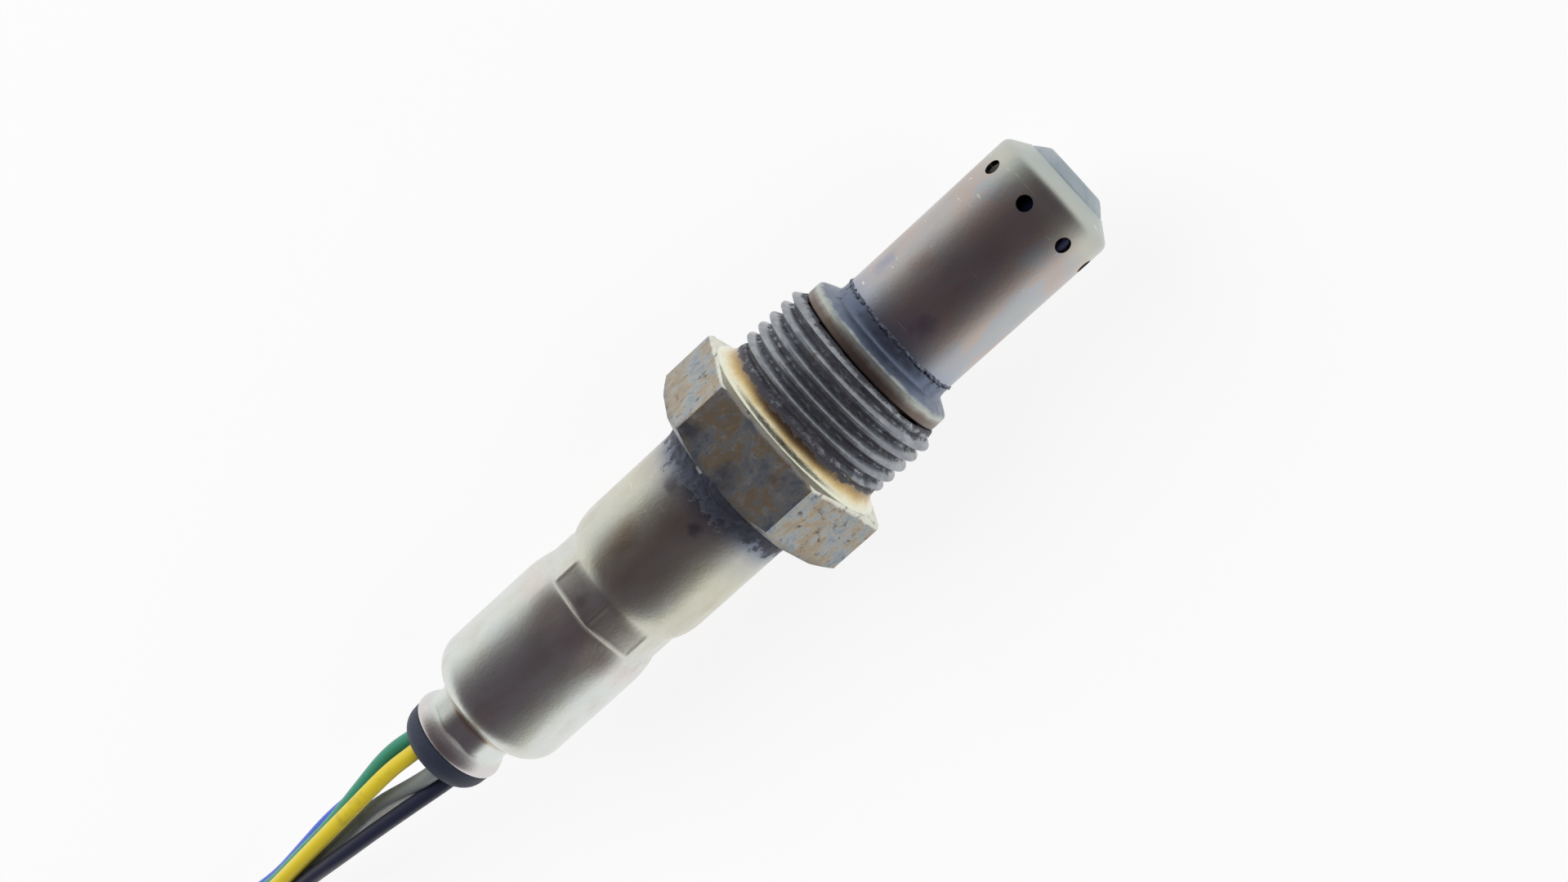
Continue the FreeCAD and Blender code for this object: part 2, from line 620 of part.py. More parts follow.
def protective_sleeve():
    """Drawn sleeve: weld bead, crimped waist, rounded barrel, crimped neck and flared lip."""
    body = new_body("protective_sleeve")
    bead_radius = of("sleeve_radius", "bead_height")
    barrel_bore = of("barrel_radius", "-sleeve_wall")
    neck_bore = of("neck_floor_radius", "-sleeve_wall")
    barrel_middle = f"({WAIST_REAR} - sizes.barrel_rise * 0.38)"
    barrel_step = of("barrel_radius", "-barrel_start_radius")
    barrel_middle_radius = f"({of('barrel_start_radius')} + {barrel_step} * 0.62)"
    turned(body, "sleeve", [
        (SLEEVE_FRONT, HOUSING_BODY_RADIUS),
        (SLEEVE_FRONT, of("sleeve_radius")),
        (BEAD_FRONT, of("sleeve_radius")),
        (plus(BEAD_FRONT, "-bead_ramp"), bead_radius),
        (BEAD_REAR, bead_radius),
        (plus(BEAD_REAR, "-bead_ramp"), of("sleeve_radius")),
        (TAPER_FRONT, of("sleeve_radius")),
        (WAIST_FRONT, of("waist_floor_radius")),
        (plus(WAIST_FRONT, "-ridge_run"), of("waist_ridge_radius")),
        (WAIST_REAR, of("waist_ridge_radius")),
        (WAIST_REAR, of("barrel_start_radius")),
        (barrel_middle, barrel_middle_radius),
        (BARREL_FRONT, of("barrel_radius")),
        (BARREL_REAR, of("barrel_radius")),
        (BARREL_REAR, of("neck_end_radius")),
        (NECK_REAR, of("neck_end_radius")),
        (LIP_RISE, of("lip_rise_radius")),
        (LIP_PEAK, of("lip_peak_radius")),
        (LIP_END, of("lip_end_radius")),
        (LIP_END, of("lip_bore_radius")),
        (LIP_RISE, of("lip_bore_radius")),
        (NECK_REAR, neck_bore),
        (BARREL_INSIDE, neck_bore),
        (BARREL_INSIDE, barrel_bore),
        (BARREL_FRONT, barrel_bore),
        (WAIST_REAR, of("holder_radius")),
        (WAIST_FRONT, of("holder_radius")),
        (TAPER_FRONT, HOUSING_BODY_RADIUS),
    ])
    rounded(body, "barrel_rear_round", [(BARREL_REAR, of("barrel_radius"))], of("barrel_round"))
    inside_round = of("barrel_round", "-sleeve_wall")
    rounded(body, "barrel_inside_round", [(BARREL_INSIDE, barrel_bore)], inside_round)
    rounded(body, "taper_round", [(TAPER_FRONT, of("sleeve_radius"))], of("taper_round"))
    jaw_marks(
        body, "waist_jaws", WAIST_REAR, of("waist_length"), "sizes.waist_jaw_radius",
        "sizes.waist_floor_radius", "sizes.sleeve_radius", "sizes.waist_jaw_count"
    )
    jaw_marks(
        body, "neck_jaws", NECK_REAR, of("neck_end_length"), "sizes.neck_jaw_radius",
        "sizes.neck_floor_radius", "sizes.neck_end_radius", "sizes.neck_jaw_count"
    )
    body.Placement = Placement(Vector(), Rotation(Vector(1, 0, 0), 1))
    body.setExpression("Placement.Rotation.Angle", "sizes.waist_jaw_turn * 1 deg")
    keep("protective_sleeve", body)


def contact_holder():
    """Two ceramic halves with a common slot, and the spring band that presses them together."""
    width = "sizes.holder_slot_width"
    height = "sizes.holder_slot_height"
    radius = of("holder_radius")
    half_sides = (of("holder_length"), f"(2 * {radius})", radius)
    for name, low in (("contact_holder_upper", "0"), ("contact_holder_lower", f"(0 - {radius})")):
        rod = axial_cylinder(name + "_rod", HOLDER_REAR, of("holder_length"), radius)
        half = doc.addObject("Part::Common", name + "_half")
        half.Base = rod
        half.Tool = block(name + "_side", (HOLDER_REAR, f"(0 - {radius})", low), half_sides)
        corner = (HOLDER_REAR, f"(0 - {width} / 2)", f"(0 - {height} / 2)")
        slot = block(name + "_slot", corner, (of("holder_length"), width, height))
        keep(name, cut(name, half, slot))
    rear = plus(CLIP_FRONT, "-clip_length")
    band_radius = of("holder_radius", "clip_thickness")
    band = axial_cylinder("clip_band", rear, of("clip_length"), band_radius)
    inside = axial_cylinder("clip_inside", rear, of("clip_length"), radius)
    gap_corner = (rear, "(0 - sizes.clip_gap / 2)", "0")
    gap = block("clip_opening", gap_corner, (of("clip_length"), of("clip_gap"), band_radius))
    keep("contact_clip", cut("contact_clip", band, inside, gap))


# Each lead: colour, place round the axis in degrees from the top towards -Y,
# its contact's column and side on the strip, and its column and row in the bundle.
LEADS = [
    ("green", -90, 1, -1, 1, 0),
    ("yellow", -30, 1, 1, 1, 1),
    ("grey", 30, 0, 1, -1, 1),
    ("black", 90, -1, 1, -1, 0),
    ("white", 150, -1, -1, -1, -1),
    ("blue", -150, 0, -1, 1, -1),
]


def ring_place(turn):
    """Where a lead passes the grommet: Y and Z."""
    radius = size("sizes.wire_ring")
    return -radius * math.sin(math.radians(turn)), radius * math.cos(math.radians(turn))


def contacts():
    """Spring contacts: a strip on the ceramic, a riser behind the holder and a crimp."""
    thickness = size("sizes.contact_thickness")
    width = size("sizes.contact_width")
    wire_radius = size(WIRE_RADIUS)
    crimp_radius = wire_radius + size("sizes.crimp_wall")
    riser_front, riser_rear, crimp_rear = size(RISER_FRONT), size(RISER_REAR), size(CRIMP_REAR)
    strip_front = size(plus(HOLDER_REAR, "contact_length"))
    surface = size("sizes.element_thickness") / 2
    for colour, turn, column, side, _, _ in LEADS:
        y, z = ring_place(turn)
        strip_y = column * size("sizes.contact_pitch")
        strip_z = side * (surface + thickness / 2)
        strip = Part.makeBox(
            strip_front - riser_rear, width, thickness,
            Vector(riser_rear, strip_y - width / 2, strip_z - thickness / 2),
        )
        reach = math.hypot(y - strip_y, z - strip_z)
        riser = Part.makeBox(riser_front - riser_rear, reach, width, Vector(riser_rear, 0, -width / 2))
        slope = math.degrees(math.atan2(z - strip_z, y - strip_y))
        riser.Placement = Placement(Vector(0, strip_y, strip_z), Rotation(Vector(1, 0, 0), slope))
        back, ahead = Vector(crimp_rear, y, z), Vector(1, 0, 0)
        crimp = Part.makeCylinder(crimp_radius, riser_front - crimp_rear, back, ahead)
        socket = Part.makeCylinder(wire_radius, riser_rear - crimp_rear, back, ahead)
        contact = doc.addObject("Part::Feature", "contact_" + colour)
        contact.Shape = strip.fuse([riser, crimp]).cut(socket).removeSplitter()
        keep("contact_" + colour, contact)


def wire_grommet():
    """Rubber plug squeezed by the neck, with one hole for each lead."""
    body = new_body("wire_grommet")
    neck_bore = of("neck_floor_radius", "-sleeve_wall")
    turned(body, "grommet", [
        (GROMMET_FRONT, "0"),
        (GROMMET_FRONT, of("grommet_radius")),
        (plus(BARREL_INSIDE, "grommet_relief"), of("grommet_radius")),
        (BARREL_INSIDE, of("grommet_radius", "-grommet_relief", "-grommet_relief")),
        (BARREL_INSIDE, neck_bore),
        (NECK_REAR, neck_bore),
        (LIP_RISE, of("lip_bore_radius")),
        (LIP_END, of("lip_bore_radius")),
        (LIP_END, of("grommet_cap_radius")),
        (CAP_REAR, of("grommet_cap_radius")),
        (SLOPE_REAR, of("grommet_end_radius")),
        (GROMMET_REAR, of("grommet_end_radius")),
        (GROMMET_REAR, "0"),
    ])
    rounded(body, "cap_round", [(CAP_REAR, of("grommet_cap_radius"))], of("grommet_slope_length"))
    sketch = new_sketch(body, "lead_holes", "YZ_Plane", GROMMET_FRONT)
    for _, turn, *_ in LEADS:
        y = f"(0 - sizes.wire_ring * sin({turn} deg))"
        z = f"(sizes.wire_ring * cos({turn} deg))"
        add_circle(sketch, y, z, WIRE_RADIUS)
    pocket = body.newObject("PartDesign::Pocket", "lead_hole_pocket")
    pocket.Profile = sketch
    pocket.setExpression("Length", f"({GROMMET_FRONT} - {GROMMET_REAR}) + 1")
    before = body.Shape.Volume
    doc.recompute()
    if pocket.Shape.Volume >= before:
        raise ValueError("the lead holes cut nothing")
    keep("wire_grommet", body)


# The bundle's route behind the grommet: X, Y, Z of its middle, how much of the grommet's
# ring is left in it (1 at the grommet, 0 in the bundle), and its pitch from column to column
FRONT_ROUTE = [
    (-63.5, 0.0, -0.15, 1.0, 2.0),
    (-71.0, 0.35, -1.5, 0.55, 2.0),
    (-79.5, 1.25, -3.7, 0.1, 2.0),
    (-88.5, 3.2, -5.9, 0.0, 2.0),
    (-97.5, 6.3, -7.3, 0.0, 2.0),
    (-106.0, 9.4, -7.6, 0.0, 1.95),
    (-113.0, 11.0, -7.55, 0.0, 1.8),
]
# Out of the hank's middle, up towards the connector: X from the hank's middle, Y, Z,
# and the bundle's turn in degrees and its spread
TAIL_ROUTE = [
    (22.0, 4.0, -7.6, 0, 1.0),
    (15.5, 2.6, -6.5, 20, 1.1),
    (9.0, 0.6, -3.7, 50, 1.4),
    (3.0, -0.9, -0.9, 78, 1.85),
]
COLUMN_PITCH = 1.8
ROW_PITCH = 1.8


def tube_along(points, radius):
    """A round tube on straight runs joined by tangent arcs. Gives the tube and its smallest arc."""
    edges = []
    at = points[0]
    smallest = float("inf")
    for before, corner, after in zip(points, points[1:], points[2:]):
        into, out = (corner - before), (after - corner)
        shorter = min(into.Length, out.Length)
        half_turn = into.getAngle(out) / 2
        arc_radius = 0.45 * shorter / math.tan(half_turn)
        smallest = min(smallest, arc_radius)
        start = corner - into.normalize() * 0.45 * shorter
        end = corner + out.normalize() * 0.45 * shorter
        middle_line = (out - into).normalize()
        depth = arc_radius / math.cos(half_turn) - arc_radius
        edges.append(Part.LineSegment(at, start).toShape())
        edges.append(Part.Arc(start, corner + middle_line * depth, end).toShape())
        at = end
    edges.append(Part.LineSegment(at, points[-1]).toShape())
    path = Part.Wire(edges)
    ring = Part.Wire(Part.makeCircle(radius, points[0], points[1] - points[0]))
    tube = path.makePipeShell([ring], True, False)
    wanted = math.pi * radius ** 2 * path.Length
    if not tube.isValid() or abs(tube.Volume - wanted) > 0.01 * wanted:
        raise ValueError("a lead's tube is broken")
    return tube, smallest


def lead_routes(turn, column, row):
    """A lead's points from the grommet to the hank, and from the hank to the connector."""
    ring_y, ring_z = ring_place(turn)
    above = row * ROW_PITCH
    front = [Vector(size(GROMMET_REAR), ring_y, ring_z)]
    for x, y, z, ring, pitch in FRONT_ROUTE:
        place_y = y + ring * ring_y + (1 - ring) * column * pitch / 2
        place_z = z + ring * ring_z + (1 - ring) * above
        front.append(Vector(x, place_y, place_z))
    middle = size(HANK_MIDDLE)
    beside = column * COLUMN_PITCH / 2
    tail = []
    for x, y, z, twist, spread in TAIL_ROUTE:
        turned_by = math.radians(twist)
        across = spread * (beside * math.cos(turned_by) - above * math.sin(turned_by))
        upwards = spread * (beside * math.sin(turned_by) + above * math.cos(turned_by))
        tail.append(Vector(middle + x, y + across, z + upwards))
    y, z = cavity_place(column, row)
    tail.append(Vector(size(CONNECTOR_REAR), size(y), size(z)))
    return front, tail


def wire_hank():
    """The outer shape of the put-away leads: a flat racetrack three leads high."""
    body = new_body("wire_hank")
    sketch = new_sketch(body, "racetrack", "XY_Plane", HANK_LOW)
    middle = Vector(size(HANK_MIDDLE), size("sizes.hank_side"), 0)
    radius = size("sizes.hank_width") / 2
    half_run = size("sizes.hank_length") / 2 - radius
    front, rear = middle + Vector(half_run, 0, 0), middle - Vector(half_run, 0, 0)
    side, up = Vector(0, radius, 0), Vector(0, 0, 1)
    quarter = math.pi / 2
    sketch.addGeometry(Part.LineSegment(rear - side, front - side), False)
    sketch.addGeometry(Part.ArcOfCircle(Part.Circle(front, up, radius), -quarter, quarter), False)
    sketch.addGeometry(Part.LineSegment(front + side, rear + side), False)
    sketch.addGeometry(Part.ArcOfCircle(Part.Circle(rear, up, radius), quarter, 3 * quarter), False)
    rules = [
        ("Tangent", 0, 2, 1, 1),
        ("Tangent", 1, 2, 2, 1),
        ("Tangent", 2, 2, 3, 1),
        ("Tangent", 3, 2, 0, 1),
        ("Horizontal", 0),
    ]
    for rule in rules:
        sketch.addConstraint(Sketcher.Constraint(*rule))
    measured = [
        (("DistanceX", -1, 1, 1, 3), "sizes.hank_front - sizes.hank_width / 2"),
        (("DistanceY", -1, 1, 1, 3), "sizes.hank_side"),
        (("DistanceX", 3, 3, 1, 3), "sizes.hank_length - sizes.hank_width"),
        (("Radius", 1), "sizes.hank_width / 2"),
    ]
    for rule, expression in measured:
        number = sketch.addConstraint(Sketcher.Constraint(*rule, size(expression)))
        sketch.setExpression(f"Constraints[{number}]", expression)
    pad = body.newObject("PartDesign::Pad", "hank_pad")
    pad.Profile = sketch
    pad.setExpression("Length", "sizes.hank_height")
    doc.recompute()
    flat = [
        f"Edge{number}" for number, edge in enumerate(pad.Shape.Edges, 1)
        if abs(edge.Vertexes[0].Z - edge.Vertexes[-1].Z) < 1e-6
    ]
    fillet = body.newObject("PartDesign::Fillet", "hank_edges")
    fillet.Base = (pad, flat)
    fillet.setExpression("Radius", "sizes.hank_round")
    doc.recompute()
    keep("wire_hank", body)


def wires():
    """The six leads: straight in the crimp and the grommet, then loose to and from the hank."""
    radius = size(WIRE_RADIUS)
    hank = parts["wire_hank"].Shape
    straight = size(RISER_REAR) - size(GROMMET_REAR)
    for colour, turn, _, _, column, row in LEADS:
        front, tail = lead_routes(turn, column, row)
        crimped = Part.makeCylinder(radius, straight, front[0], Vector(1, 0, 0))
        front_tube, front_arc = tube_along(front, radius)
        tail_tube, tail_arc = tube_along(tail, radius)
        end = tail[-1]
        inside = size(CONNECTOR_REAR) - size(TERMINAL_REAR)
        plugged = Part.makeCylinder(radius, inside, Vector(end.x, end.y, end.z), Vector(-1, 0, 0))
        loose = crimped.fuse(front_tube).removeSplitter().cut(hank)
        tail_piece = tail_tube.fuse(plugged).removeSplitter().cut(hank)
        solids = [max(piece.Solids, key=lambda solid: solid.Volume) for piece in (loose, tail_piece)]
        wire = doc.addObject("Part::Feature", "wire_" + colour)
        wire.Shape = Part.makeCompound(solids)
        keep("wire_" + colour, wire)
        print("wire_" + colour, "smallest arcs", round(front_arc, 1), round(tail_arc, 1))


def hank_tie(name, place):
    """A cable tie round the hank: its band and its head."""
    band = "sizes.tie_thickness"
    width = of("hank_width")
    rear = f"({HANK_MIDDLE} + {place} - sizes.tie_width / 2)"
    low_side = "(sizes.hank_side - sizes.hank_width / 2)"
    outer_sides = (of("tie_width"), f"({width} + 2 * {band})", f"(sizes.hank_height + 2 * {band})")
    outer = block(name + "_outer", (rear, f"({low_side} - {band})", FLOOR), outer_sides)
    inner = block(name + "_inner", (rear, low_side, HANK_LOW), (of("tie_width"), width, of("hank_height")))
    doc.recompute()
    softened = doc.addObject("Part::Fillet", name + "_band")
    softened.Base = cut(name + "_loop", outer, inner)
    doc.recompute()
    corners = []
    for number, edge in enumerate(softened.Base.Shape.Edges, 1):
        along = abs(edge.Vertexes[0].X - edge.Vertexes[-1].X) > 1e-6
        reach = abs(edge.Vertexes[0].Y - size("sizes.hank_side"))
        outside = abs(reach - size(f"{width} / 2 + {band}")) < 1e-6
        if along and outside:
            corners.append((number, size(band), size(band)))
    softened.Edges = corners
    head_corner = (
        f"({HANK_MIDDLE} + {place} - sizes.tie_head_length / 2)",
        "(sizes.hank_side + sizes.tie_head_place - sizes.tie_head_width / 2)",
        HANK_TOP,
    )
    head_size = (of("tie_head_length"), of("tie_head_width"), of("tie_head_height"))
    head = block(name + "_head", head_corner, head_size)
    keep(name, fuse(name, softened, head))


def cavity_place(column, row):
    """Middle of the terminal cavity of a lead in the bundle, as expressions: its Y and Z."""
    y = f"(sizes.hank_side - {row} * sizes.cavity_pitch)"
    z = f"({CONNECTOR_AXIS} + {column} * sizes.cavity_row / 2)"
    return y, z


def cavity_places():
    """All six cavities: bundle column and row, and the middle's Y and Z."""
    return [(column, row, *cavity_place(column, row)) for column in (-1, 1) for row in (-1, 0, 1)]


def cavity_blocks(name, front, length, side):
    """A square prism in each cavity's place."""
    half = f"{side} / 2"
    return [
        block(f"{name}_{index}", (front, f"({y} - {half})", f"({z} - {half})"), (length, side, side))
        for index, (_, _, y, z) in enumerate(cavity_places(), 1)
    ]


def pocket_block(name, front, length, grown="0"):
    """A block of the wire seal's section, grown on each side."""
    width, height = f"(sizes.seal_width + 2 * {grown})", f"(sizes.seal_height + 2 * {grown})"
    corner = (front, f"(sizes.hank_side - {width} / 2)", f"({CONNECTOR_AXIS} - {height} / 2)")
    return block(name, corner, (length, width, height))


def connector():
    """A plain six-way connector on top of the hank, with its seals and terminal lock."""
    length, width, height = (of("connector_" + side) for side in ("length", "width", "height"))
    corner = (CONNECTOR_FACE, f"(sizes.hank_side - {width} / 2)", CONNECTOR_LOW)
    shell = block("connector_block", corner, (length, width, height))
    doc.recompute()
    softened = doc.addObject("Part::Fillet", "connector_shell")
    softened.Base = shell
    softened.Edges = [
        (number, size("sizes.connector_round"), size("sizes.connector_round"))
        for number, edge in enumerate(shell.Shape.Edges, 1)
        if abs(edge.Vertexes[0].X - edge.Vertexes[-1].X) > 1e-6
    ]
    arm_low = f"({CONNECTOR_LOW} + {height} + sizes.latch_gap)"
    arm_side = "(sizes.hank_side - sizes.latch_width / 2)"
    arm_front = f"({CONNECTOR_FACE} + sizes.latch_foot)"
    arm_sides = (of("latch_length"), of("latch_width"), of("latch_thickness"))
    arm = block("latch_arm", (arm_front, arm_side, arm_low), arm_sides)
    foot_low = f"({CONNECTOR_LOW} + {height} - sizes.latch_gap)"
    foot_height = of("latch_gap", "latch_gap", "latch_thickness")
    foot_size = (of("latch_foot"), of("latch_width"), foot_height)
    foot = block("latch_root", (arm_front, arm_side, foot_low), foot_size)
    body = fuse("connector_solid", softened, arm, foot)
    seal_pocket = pocket_block("seal_pocket", SEAL_FRONT, of("seal_depth"))
    wedge_pocket = pocket_block("wedge_pocket", CONNECTOR_FACE, of("wedge_depth"))
    between = f"({SEAL_FRONT} - {WEDGE_REAR})"
    cavities = cavity_blocks("cavity", WEDGE_REAR, between, "sizes.cavity_size")
    keep("connector_housing", cut("connector_housing", body, seal_pocket, wedge_pocket, *cavities))

    mat = pocket_block("seal_mat", SEAL_FRONT, of("seal_depth"))
    lead_holes = []
    for index, (_, _, y, z) in enumerate(cavity_places(), 1):
        hole = axial_cylinder(f"seal_hole_{index}", SEAL_FRONT, of("seal_depth"), WIRE_RADIUS)
        hole.setExpression("Placement.Base.y", y)
        hole.setExpression("Placement.Base.z", z)
        lead_holes.append(hole)
    keep("connector_seal", cut("connector_seal", mat, *lead_holes))

    plate = pocket_block("wedge_plate", CONNECTOR_FACE, of("wedge_depth"))
    pin_holes = cavity_blocks("pin_hole", CONNECTOR_FACE, of("wedge_depth"), "sizes.wedge_hole")
    keep("connector_wedge", cut("connector_wedge", plate, *pin_holes))

    band = "sizes.ring_seal_size"
    ring_rear = plus(CONNECTOR_FACE, "ring_seal_inset")
    outer_corner = (ring_rear, f"(sizes.hank_side - {width} / 2 - {band})", CONNECTOR_LOW)
    outer_sides = (of("ring_seal_length"), f"({width} + 2 * {band})", f"({height} + {band})")
    outer = block("ring_seal_outer", outer_corner, outer_sides)
    keep("connector_ring_seal", cut("connector_ring_seal", outer, softened))


def terminals():
    """Box terminals in the connector, each crimped on a lead."""
    wire_radius = size(WIRE_RADIUS)
    crimp_radius = wire_radius + size("sizes.crimp_wall")
    front, rear = size(TERMINAL_FRONT), size(TERMINAL_REAR)
    side = size("sizes.terminal_size")
    seal_front = size(SEAL_FRONT)
    pin = size("sizes.wedge_hole")
    colours = {(column, row): colour for colour, _, _, _, column, row in LEADS}
    for column, row, y_place, z_place in cavity_places():
        y, z = size(y_place), size(z_place)
        box = Part.makeBox(rear - front, side, side, Vector(front, y - side / 2, z - side / 2))
        mouth = Part.makeBox((rear - front) / 2, pin, pin, Vector(front, y - pin / 2, z - pin / 2))
        ahead = Vector(1, 0, 0)
        crimp = Part.makeCylinder(crimp_radius, seal_front - rear, Vector(rear, y, z), ahead)
        hole = Part.makeCylinder(wire_radius, seal_front - rear, Vector(rear, y, z), ahead)
        name = "terminal_" + colours[column, row]
        terminal = doc.addObject("Part::Feature", name)
        terminal.Shape = box.fuse(crimp).cut(mouth).cut(hole).removeSplitter()
        keep(name, terminal)


fixing_screw()
sensor_housing()
outer_protection_tube()
inner_protection_tube()
sensing_core()
protective_sleeve()
contact_holder()
contacts()
wire_grommet()
wire_hank()
wires()
hank_tie("hank_tie_front", "sizes.tie_front_place")
hank_tie("hank_tie_rear", "sizes.tie_rear_place")
connector()
terminals()
doc.recompute()

for item in doc.Objects:
    if "Invalid" in item.State or "Error" in item.State:
        raise ValueError(f"{item.Name} is {item.State}")
for name, piece in parts.items():
    if piece.Shape.isNull() or not piece.Shape.isValid() or not piece.Shape.Solids:
        raise ValueError(f"{name} has no valid solid")

os.makedirs("parts", exist_ok=True)
for name, piece in parts.items():
    piece.Shape.exportStep(f"parts/{name}.step")
    print(name, len(piece.Shape.Solids), "solid", round(piece.Shape.Volume, 1), "mm3")
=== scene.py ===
# Exhaust gas sensor probe: real surfaces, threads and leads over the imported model.
# Metres. +X runs along the probe to its perforated tip and +Z is up.
import json
import math

import bpy
from bpy.props import FloatProperty, FloatVectorProperty, IntProperty, PointerProperty
from mathutils import Matrix, Vector, noise


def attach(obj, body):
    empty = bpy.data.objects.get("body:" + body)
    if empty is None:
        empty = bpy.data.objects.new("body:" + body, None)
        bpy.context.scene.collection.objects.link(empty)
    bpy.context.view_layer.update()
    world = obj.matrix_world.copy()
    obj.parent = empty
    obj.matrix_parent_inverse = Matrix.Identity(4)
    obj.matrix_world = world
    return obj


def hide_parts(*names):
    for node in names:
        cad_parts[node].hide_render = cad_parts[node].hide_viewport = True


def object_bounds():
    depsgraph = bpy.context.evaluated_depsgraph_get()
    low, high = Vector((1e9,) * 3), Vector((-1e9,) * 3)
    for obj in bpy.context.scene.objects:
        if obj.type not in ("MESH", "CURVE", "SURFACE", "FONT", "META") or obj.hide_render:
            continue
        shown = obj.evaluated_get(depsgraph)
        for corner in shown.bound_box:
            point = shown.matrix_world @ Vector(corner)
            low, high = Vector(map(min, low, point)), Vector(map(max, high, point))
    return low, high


bl_info = {
    "name": "Exhaust Gas Sensor Probe",
    "version": (1, 0, 0),
    "blender": (4, 5, 0),
    "location": "View3D > Sidebar > Gas Probe",
    "description": "Dresses the packed model of an exhaust gas sensor probe",
    "category": "Add Mesh",
}

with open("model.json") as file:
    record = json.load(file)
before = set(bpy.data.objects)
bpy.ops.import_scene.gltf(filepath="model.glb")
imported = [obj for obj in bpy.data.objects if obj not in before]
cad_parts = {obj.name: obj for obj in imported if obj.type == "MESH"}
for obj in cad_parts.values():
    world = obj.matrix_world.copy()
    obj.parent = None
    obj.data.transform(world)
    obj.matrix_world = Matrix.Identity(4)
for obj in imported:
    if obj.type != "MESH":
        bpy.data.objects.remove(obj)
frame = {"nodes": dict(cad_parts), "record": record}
CAD_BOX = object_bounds()
MM = 0.001
SEGMENTS = 160


def linear(code):
    """An sRGB hex colour as linear red, green, blue and alpha, which is 1 where the code gives none."""
    parts = [int(code[i:i + 2], 16) / 255 for i in range(1, len(code), 2)]
    colour = [c / 12.92 if c <= 0.04045 else ((c + 0.055) / 1.055) ** 2.4 for c in parts[:3]]
    return colour + (parts[3:] or [1.0])


class ProbeSizes(bpy.types.PropertyGroup):
    """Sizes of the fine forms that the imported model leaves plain."""

    thread_pitch: FloatProperty(
        name="Thread pitch", description="Crest to crest along the screw", default=0.0015, unit="LENGTH")
    thread_depth: FloatProperty(
        name="Thread depth", description="Crest to root, as a radius", default=0.00092, unit="LENGTH")
    edge_wear: FloatProperty(
        name="Edge wear", description="Bevel on the hexagon's edges", default=0.00022, unit="LENGTH")
    jaw_softness: FloatProperty(
        name="Jaw softness", description="Run-out of the crimping marks", default=0.0005, unit="LENGTH")
    seam_grains: IntProperty(
        name="Seam grains", description="Grains of weld spatter round the tube", default=110, min=20, max=300)
    lead_diameter: FloatProperty(
        name="Lead diameter", description="Outside of each lead's insulation", default=0.0017, unit="LENGTH")


class ProbeColours(bpy.types.PropertyGroup):
    """Colours of the leads' insulation."""

    green: FloatVectorProperty(
        name="Green lead", description="Insulation", subtype="COLOR", size=4, default=linear("#358a70"))
    yellow: FloatVectorProperty(
        name="Yellow lead", description="Insulation", subtype="COLOR", size=4, default=linear("#dcc62c"))
    grey: FloatVectorProperty(
        name="Grey lead", description="Insulation", subtype="COLOR", size=4, default=linear("#7c8280"))
    black: FloatVectorProperty(
        name="Black lead", description="Insulation", subtype="COLOR", size=4, default=linear("#23263a"))
    white: FloatVectorProperty(
        name="White lead", description="Insulation", subtype="COLOR", size=4, default=linear("#e5e0d5"))
    blue: FloatVectorProperty(
        name="Blue lead", description="Insulation", subtype="COLOR", size=4, default=linear("#2f57c4"))


# Materials


def add(tree, kind, settings=None, inputs=None, stops=None):
    """Adds a node with its settings, its values or links, and a ramp's stops."""
    node = tree.nodes.new(kind)
    for key, value in (settings or {}).items():
        setattr(node, key, value)
    for key, value in (inputs or {}).items():
        if isinstance(value, bpy.types.NodeSocket):
            tree.links.new(value, node.inputs[key])
        else:
            node.inputs[key].default_value = value
    if stops:
        elements = node.color_ramp.elements
        while len(elements) < len(stops):
            elements.new(0.5)
        for element, (place, colour) in zip(elements, stops):
            element.position = place
            element.color = linear(colour)
    return node


def per_mm(length):
    """Noise scale for features of that many millimetres."""
    return 1 / (length * MM)


def new_material(name):
    """An empty material with its output and the piece's own coordinates."""
    material = bpy.data.materials.new(name)
    material.use_nodes = True
    tree = material.node_tree
    tree.nodes.clear()
    place = add(tree, "ShaderNodeTexCoord").outputs["Object"]
    return material, tree, place


def along(tree, place, stops, ragged=0.4):
    """A ramp laid along the probe: stops are (X, colour), their borders ragged, both in millimetres."""
    first, last = stops[0][0], stops[-1][0]
    station = add(tree, "ShaderNodeSeparateXYZ", inputs={"Vector": place})
    wander = add(tree, "ShaderNodeTexNoise", inputs={
        "Vector": place, "Scale": per_mm(1.6), "Detail": 5.0, "Roughness": 0.65})
    shifted = add(tree, "ShaderNodeMath", {"operation": "MULTIPLY_ADD"}, {
        0: wander.outputs["Fac"], 1: 2 * ragged * MM, 2: station.outputs["X"]})
    share = add(tree, "ShaderNodeMapRange", inputs={
        "Value": shifted.outputs["Value"], "From Min": (first + ragged) * MM,
        "From Max": (last + ragged) * MM})
    return add(tree, "ShaderNodeValToRGB", inputs={"Fac": share.outputs["Result"]}, stops=[
        ((x - first) / (last - first), colour) for x, colour in stops])


def near(tree, place, spot, radius):
    """1 at a spot on the surface, 0 beyond a radius, in millimetres, with an uneven border."""
    middle = [part * MM for part in spot]
    away = add(tree, "ShaderNodeVectorMath", {"operation": "DISTANCE"}, {0: place, 1: middle})
    wander = add(tree, "ShaderNodeTexNoise", inputs={
        "Vector": place, "Scale": per_mm(radius * 0.6), "Detail": 4.0})
    reach = add(tree, "ShaderNodeMath", {"operation": "MULTIPLY_ADD"}, {
        0: wander.outputs["Fac"], 1: radius * MM, 2: away.outputs["Value"]})
    return add(tree, "ShaderNodeMapRange", {"interpolation_type": "SMOOTHSTEP"}, {
        "Value": reach.outputs["Value"], "From Min": radius * 1.3 * MM, "From Max": radius * 0.6 * MM})


